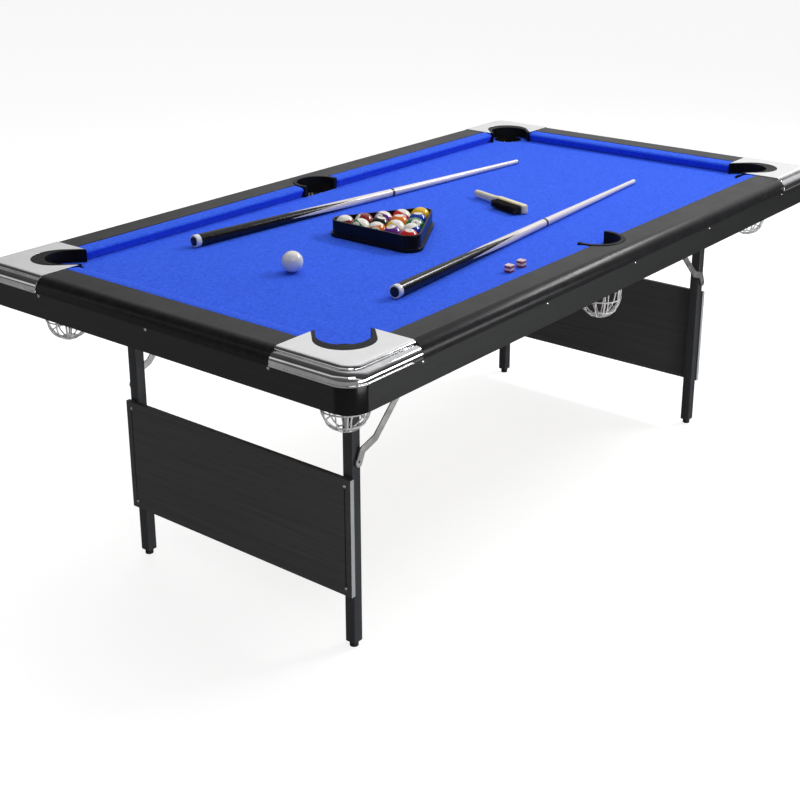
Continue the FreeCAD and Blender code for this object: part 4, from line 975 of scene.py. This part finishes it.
def make_cue(name):
    """A two-piece cue: bumper, butt cap, ring, butt with points, joint, shaft, ferrule and tip."""
    points = [vert.co.copy() for vert in nodes[name].data.vertices]
    way = X_AXIS
    for _ in range(3):
        butt, tip = end_centre(points, -way), end_centre(points, way)
        way = (tip - butt).normalized()
    place = facing(butt, way)
    length = (tip - butt).length

    def radius(height):
        return CUE_BUTT + (CUE_TIP - CUE_BUTT) * height / length

    def turned(part, start, stop, material, edge=0.0, extra=0.0, cuts=1):
        """A length of the cue, in mm from the butt, proud of its taper by extra."""
        start, stop = start * MM, stop * MM
        profile = [(0, start), (radius(start) + extra - edge, start)]
        if edge:
            profile += [(radius(start) + extra - edge * 0.3, start + edge * 0.3)]
            profile += [(radius(start) + extra, start + edge)]
        for cut in range(1, cuts + 1):
            height = start + (stop - start) * cut / cuts
            profile += [(radius(height) + extra, height)]
        lathed(part, profile + [(0, stop)], material, [name])

    def lathed(part, profile, material, replaced=()):
        mesh = bmesh.new()
        lathe(mesh, profile)
        piece(f"{name}_{part}", mesh, name, material, replaced, place=place)

    end = length / MM
    turned("butt_cap", 3, 17, CUE_WHITE, edge=1.6 * MM)
    turned("butt_ring", 17, 19, INK, extra=-0.15 * MM)
    turned("butt", 19, 560, CUE_BUTT_WOOD, cuts=6)
    turned("joint", 703, 713, CUE_JOINT, extra=0.15 * MM)
    turned("forearm", 560, 703, CUE_WOOD)
    turned("shaft", 713, end - FERRULE, CUE_WOOD, cuts=4)
    turned("ferrule", end - FERRULE, end - TIP, CUE_WHITE)
    lathed("bumper", [(r * MM, z * MM) for r, z in BUMPER_PROFILE], INK)
    wide = radius(length)
    top = length - TIP * MM
    lathed("tip", [
        (0, top), (wide - 0.1 * MM, top), (wide, top + 1 * MM), (wide * 0.98, top + 3.4 * MM),
        (wide * 0.7, top + 5 * MM), (0, top + 5.8 * MM),
    ], CUE_LEATHER)


def make_brush():
    """A table brush: one shaped piece of wood and rows of bristle tufts."""
    mesh = bmesh.new()
    rows = []
    for along, half_x, half_z, corner, middle in BRUSH_STATIONS:
        line = rounded_square(half_x * MM, half_z * MM, corner * MM, 5)
        rows.append([Vector((middle * MM + x, along * MM, BRUSH_HALF + z)) for x, z in line])
    skin(mesh, rows, closed_rows=False, caps=True)
    low = span("brush_block")[0]
    place = Matrix.Translation((BRUSH_X, BRUSH_Y, low.z)) @ Matrix.Rotation(BRUSH_TURN, 4, "Z")
    wood = piece("brush_wood", mesh, "brush", BEECH, ["brush_block"], 50, place)
    bevelled(wood, 1.2 * MM, angle=50)
    dice = random.Random(11)
    mesh = bmesh.new()
    for column in range(TUFT_COLUMNS):
        for row in range(TUFT_ROWS):
            y = TUFT_ALONG[0] + TUFT_ALONG[1] * column / (TUFT_COLUMNS - 1)
            z = TUFT_UP[0] + TUFT_UP[1] * row / (TUFT_ROWS - 1)
            for _ in range(HAIRS):
                turn, out = dice.uniform(0, 2 * math.pi), TUFT_RADIUS * math.sqrt(dice.random())
                root = Vector((0.5, y + out * math.cos(turn), z + out * math.sin(turn)))
                lean = Vector((0, dice.uniform(-1.2, 1.2), dice.uniform(-1.0, 1.0)))
                tip = Vector((-dice.uniform(*HAIR_LENGTHS), root.y, root.z)) + lean
                tube(mesh, [root * MM, (root + tip) / 2 * MM, tip * MM], HAIR_RADIUS, sides=3)
    piece("brush_bristles", mesh, "brush", BRISTLE, ["brush_hair"], place=place)


def make_chalk():
    """Two chalk cubes with a hollow worn into the top."""
    for number, (low, high) in enumerate(islands("chalk_cubes"), 1):
        middle = (low + high) / 2
        half = (high.x - low.x) / 2
        mesh = bmesh.new()
        levels = [(half - inset * MM, low.z + up * MM, corner) for inset, up, corner in CHALK_FOOT]
        levels += [(half - inset * MM, high.z + up * MM, corner) for inset, up, corner in CHALK_TOP]
        rows = []
        for size, z, corner in levels:
            line = rounded_square(size, size, corner * MM, 5)
            rows.append([Vector((middle.x + x, middle.y + y, z)) for x, y in line])
        skin(mesh, rows, closed_rows=False, caps=True)
        piece(f"chalk_cube_{number}", mesh, "chalk", CHALK, ["chalk_cubes"], 40)


# ---- materials ----

BALL = span("cue_ball")[1].z - span("cue_ball")[0].z

CLOTH = wool_cloth("blue_cloth")
VINYL = vinyl("rail_vinyl")
APRON = laminate(
    "apron_laminate", (0.011, 0.012, 0.012), (0.019, 0.020, 0.020), (0.36, 0.46)
).material
CORNER_PLASTIC = surface(
    "corner_plastic", (0.004, 0.004, 0.005), (0.007, 0.007, 0.008), (0.20, 0.28),
    strength=0.03, Specular_IOR_Level=0.26,
)
LINER_PLASTIC = surface(
    "liner_plastic", (0.004, 0.004, 0.005), (0.008, 0.008, 0.009), (0.34, 0.46),
    strength=0.08, Specular_IOR_Level=0.16,
)
CHROME = cap_chrome("cap_chrome")
WIRE = surface(
    "basket_wire", (0.82, 0.82, 0.83), (0.92, 0.92, 0.93), (0.20, 0.32), patch=40, strength=0.04
)
SCREW_STEEL = bright_metal("screw_steel", (0.90, 0.90, 0.90), (0.10, 0.22))
STAY_STEEL = bright_metal("stay_steel", (0.80, 0.80, 0.79), (0.34, 0.48), 300, (0.2, 1, 1), 0.06)
BRACKET_COAT = surface(
    "bracket_coat", (0.018, 0.018, 0.019), (0.034, 0.034, 0.036), (0.38, 0.52),
    patch=30, grain=500, strength=0.12,
)
LEG_PAINT = surface(
    "leg_paint", (0.034, 0.036, 0.040), (0.054, 0.057, 0.063), (0.30, 0.42),
    patch=12, grain=450, strength=0.10, depth=0.25 * MM,
)
PANEL = panel_board("panel_laminate")
RUBBER = surface(
    "pad_rubber", (0.014, 0.014, 0.014), (0.028, 0.028, 0.028), (0.65, 0.85), strength=0.2
)
MDF = surface(
    "bed_mdf", (0.22, 0.13, 0.07), (0.38, 0.25, 0.14), (0.7, 0.9), patch=8, grain=600, strength=0.25
)
PINE = ((0.42, 0.25, 0.11), (0.66, 0.46, 0.25))
PINE_LONG = timber("frame_wood", *PINE, (0.15, 3.0, 3.0))
PINE_ACROSS = timber("batten_wood", *PINE, (3.0, 0.15, 3.0))
RACK_PLASTIC = surface(
    "rack_plastic", (0.005, 0.005, 0.005), (0.009, 0.009, 0.010), (0.24, 0.36),
    strength=0.06, Specular_IOR_Level=0.18,
)
BEECH = timber(
    "brush_beech", (0.80, 0.70, 0.44), (0.92, 0.86, 0.60), (4.0, 0.25, 4.0), (0.35, 0.5), 0.2
)
BRISTLE = surface(
    "brush_bristle", (0.008, 0.008, 0.009), (0.030, 0.028, 0.026), (0.4, 0.6), patch=300
)
CHALK = chalk_paper("chalk_paper")
CUE_BALL_RESIN = ball_resin("cue_ball_resin", (0.92, 0.90, 0.86), False)
INK = surface(
    "black_ink", (0.006, 0.006, 0.007), (0.012, 0.012, 0.013), (0.10, 0.18), strength=0.02
)
CUE_WHITE = surface(
    "cue_white", (0.74, 0.74, 0.72), (0.86, 0.86, 0.85), (0.16, 0.26), strength=0.02
)
CUE_JOINT = surface(
    "cue_joint", (0.03, 0.028, 0.026), (0.08, 0.07, 0.065), (0.18, 0.26), strength=0.02
)
CUE_LEATHER = surface(
    "cue_leather", (0.03, 0.07, 0.16), (0.06, 0.12, 0.26), (0.8, 0.9), strength=0.3
)
CUE_BUTT_WOOD = cue_butt("cue_butt")
CUE_WOOD = timber(
    "cue_wood", (0.72, 0.66, 0.62), (0.88, 0.84, 0.82), (3.0, 3.0, 0.06), (0.2, 0.3), 0.5
)


# ---- build ----

for end in ENDS:
    dress(f"{end}_bed_board", MDF, 0.6 * MM)
make_cloth()
for node in [name for name in nodes if name.endswith("_cushion")]:
    make_cushion(node)
for side in SIDES + ENDS:
    dress(f"{side}_rail", VINYL, 1.0 * MM)
    dress(f"{side}_apron", APRON, 0.8 * MM)
dress("apron_corners", CORNER_PLASTIC, 1.2 * MM)
for corner in CORNERS:
    make_cap(corner)
    make_liner(corner)
    dress(f"{corner}_stay", STAY_STEEL, 0.5 * MM)
for side in SIDES:
    dress(f"{side}_side_liner", LINER_PLASTIC, 1.5 * MM)
for node in [name for name in nodes if name.endswith("_basket")]:
    make_basket(node)
make_apron_screws()
dress("bed_stringers", PINE_LONG, 1.0 * MM)
dress("cross_battens", PINE_ACROSS, 1.0 * MM)
dress("leg_hinge_bolts", SCREW_STEEL, 0.5 * MM)
for node in ("leg_hinge_brackets", "stay_tracks"):
    dress(node, BRACKET_COAT, 0.4 * MM)
for end in ENDS:
    make_leg_frame(end)
    make_leg_fasteners(end)
    make_foot_pads(end)
    dress(f"{end}_leg_panel", PANEL, 0.7 * MM)
make_cue_ball()
make_balls()
dress("rack", RACK_PLASTIC, 0.9 * MM)
for name in ("far_cue", "near_cue"):
    make_cue(name)
make_brush()
make_chalk()


# ---- floor, light and camera ----

def put(name, data, at=(0, 0, 0), way=None):
    """Stands a lamp, a camera or a floor in the scene, looking along a direction."""
    holder = bpy.data.objects.new(name, data)
    holder.location = at
    if way:
        holder.rotation_mode = "QUATERNION"
        holder.rotation_quaternion = way.to_track_quat("-Z", "Y")
    bpy.context.scene.collection.objects.link(holder)
    return holder


def empty_tree(holder):
    holder.use_nodes = True
    holder.node_tree.nodes.clear()
    return holder.node_tree


def grey_ramp(tree, source, bands):
    """A grey that follows a number through bands of (number, grey)."""
    ramp = add_node(tree, "ValToRGB", {"Fac": source})
    for position, _ in bands[2:]:
        ramp.color_ramp.elements.new(position)
    for element, (position, grey) in zip(ramp.color_ramp.elements, bands):
        element.position = position
        element.color = (grey, grey, grey, 1)
    return ramp.outputs["Color"]


def mixed(tree, share, first, second):
    """The second shader over the first, where the share is 1."""
    return add_node(tree, "MixShader", {0: share, 1: first, 2: second}).outputs[0]


def make_floor():
    """White as seen; in reflections it is lit at the head end and dark beyond the foot end."""
    mesh = bmesh.new()
    bmesh.ops.create_grid(mesh, x_segments=1, y_segments=1, size=FLOOR_HALF)
    data = bpy.data.meshes.new("floor")
    mesh.to_mesh(data)
    mesh.free()
    paint = bpy.data.materials.new("floor_paint")
    data.materials.append(paint)
    tree = empty_tree(paint)
    plain = add_node(tree, "BsdfDiffuse", {"Color": FLOOR_SEEN}).outputs[0]
    glow = add_node(tree, "Emission", {"Strength": FLOOR_GLOW}).outputs[0]
    seen = add_node(tree, "AddShader", {0: plain, 1: glow}).outputs[0]
    bounce = add_node(tree, "BsdfDiffuse", {"Color": FLOOR_BOUNCE}).outputs[0]
    where = add_node(tree, "TexCoord").outputs["Object"]
    along = add_node(tree, "SeparateXYZ", {0: where}).outputs["X"]
    ends = {"Value": along, "From Min": FLOOR_FADE[0], "From Max": FLOOR_FADE[1]}
    faded = grey_ramp(tree, add_node(tree, "MapRange", ends).outputs[0], FLOOR_MIRRORED)
    mirrored = add_node(tree, "Emission", {"Color": faded}).outputs[0]
    path = add_node(tree, "LightPath").outputs
    others = mixed(tree, path["Is Glossy Ray"], bounce, mirrored)
    add_node(tree, "OutputMaterial", {"Surface": mixed(tree, path["Is Camera Ray"], others, seen)})
    floor = put("floor", data)


def make_lamps():
    for name, at, aim, size, power, mirrored in LAMPS:
        lamp = bpy.data.lights.new(name, "AREA")
        lamp.shape = "RECTANGLE"
        lamp.size, lamp.size_y = size
        lamp.energy = power
        put(name, lamp, at, Vector(aim) - Vector(at)).visible_glossy = mirrored


def make_world():
    """White as seen; in reflections it is dark at the head end and low down, bright overhead."""
    world = bpy.data.worlds.new("studio")
    bpy.context.scene.world = world
    tree = empty_tree(world)
    way = add_node(tree, "TexCoord").outputs["Generated"]
    toward = add_node(tree, "VectorMath", {0: way, 1: WORLD_BRIGHT_WAY}, operation="DOT_PRODUCT")
    halved = {0: toward.outputs["Value"], 1: 0.5, 2: 0.5}
    share = add_node(tree, "Math", halved, operation="MULTIPLY_ADD")
    height = add_node(tree, "SeparateXYZ", {0: way}).outputs["Z"]
    greys = {
        "Factor": 1,
        6: grey_ramp(tree, share.outputs[0], WORLD_ROUND),
        7: grey_ramp(tree, height, WORLD_UP),
    }
    both = add_node(tree, "Mix", greys, data_type="RGBA", blend_type="MULTIPLY").outputs[2]
    around = add_node(tree, "Background", {"Color": both}).outputs[0]
    seen = add_node(tree, "Background", {"Color": (1, 1, 1, 1)}).outputs[0]
    to_camera = add_node(tree, "LightPath").outputs["Is Camera Ray"]
    add_node(tree, "OutputWorld", {"Surface": mixed(tree, to_camera, around, seen)})


def make_camera():
    lens = bpy.data.cameras.new("camera")
    lens.sensor_width = CAMERA_SENSOR
    lens.lens = CAMERA_FOCAL * CAMERA_SENSOR
    lens.shift_x, lens.shift_y = CAMERA_SHIFT
    lens.clip_start, lens.clip_end = 0.05, 200
    lens.dof.use_dof = False
    level = Vector((math.cos(CAMERA_HEADING), math.sin(CAMERA_HEADING), 0))
    way = level * math.cos(CAMERA_PITCH) - Z_AXIS * math.sin(CAMERA_PITCH)
    bpy.context.scene.camera = put("camera", lens, CAMERA_AT, way)


make_floor()
make_world()
make_lamps()
make_camera()
bpy.context.scene.view_settings.view_transform = "Standard"
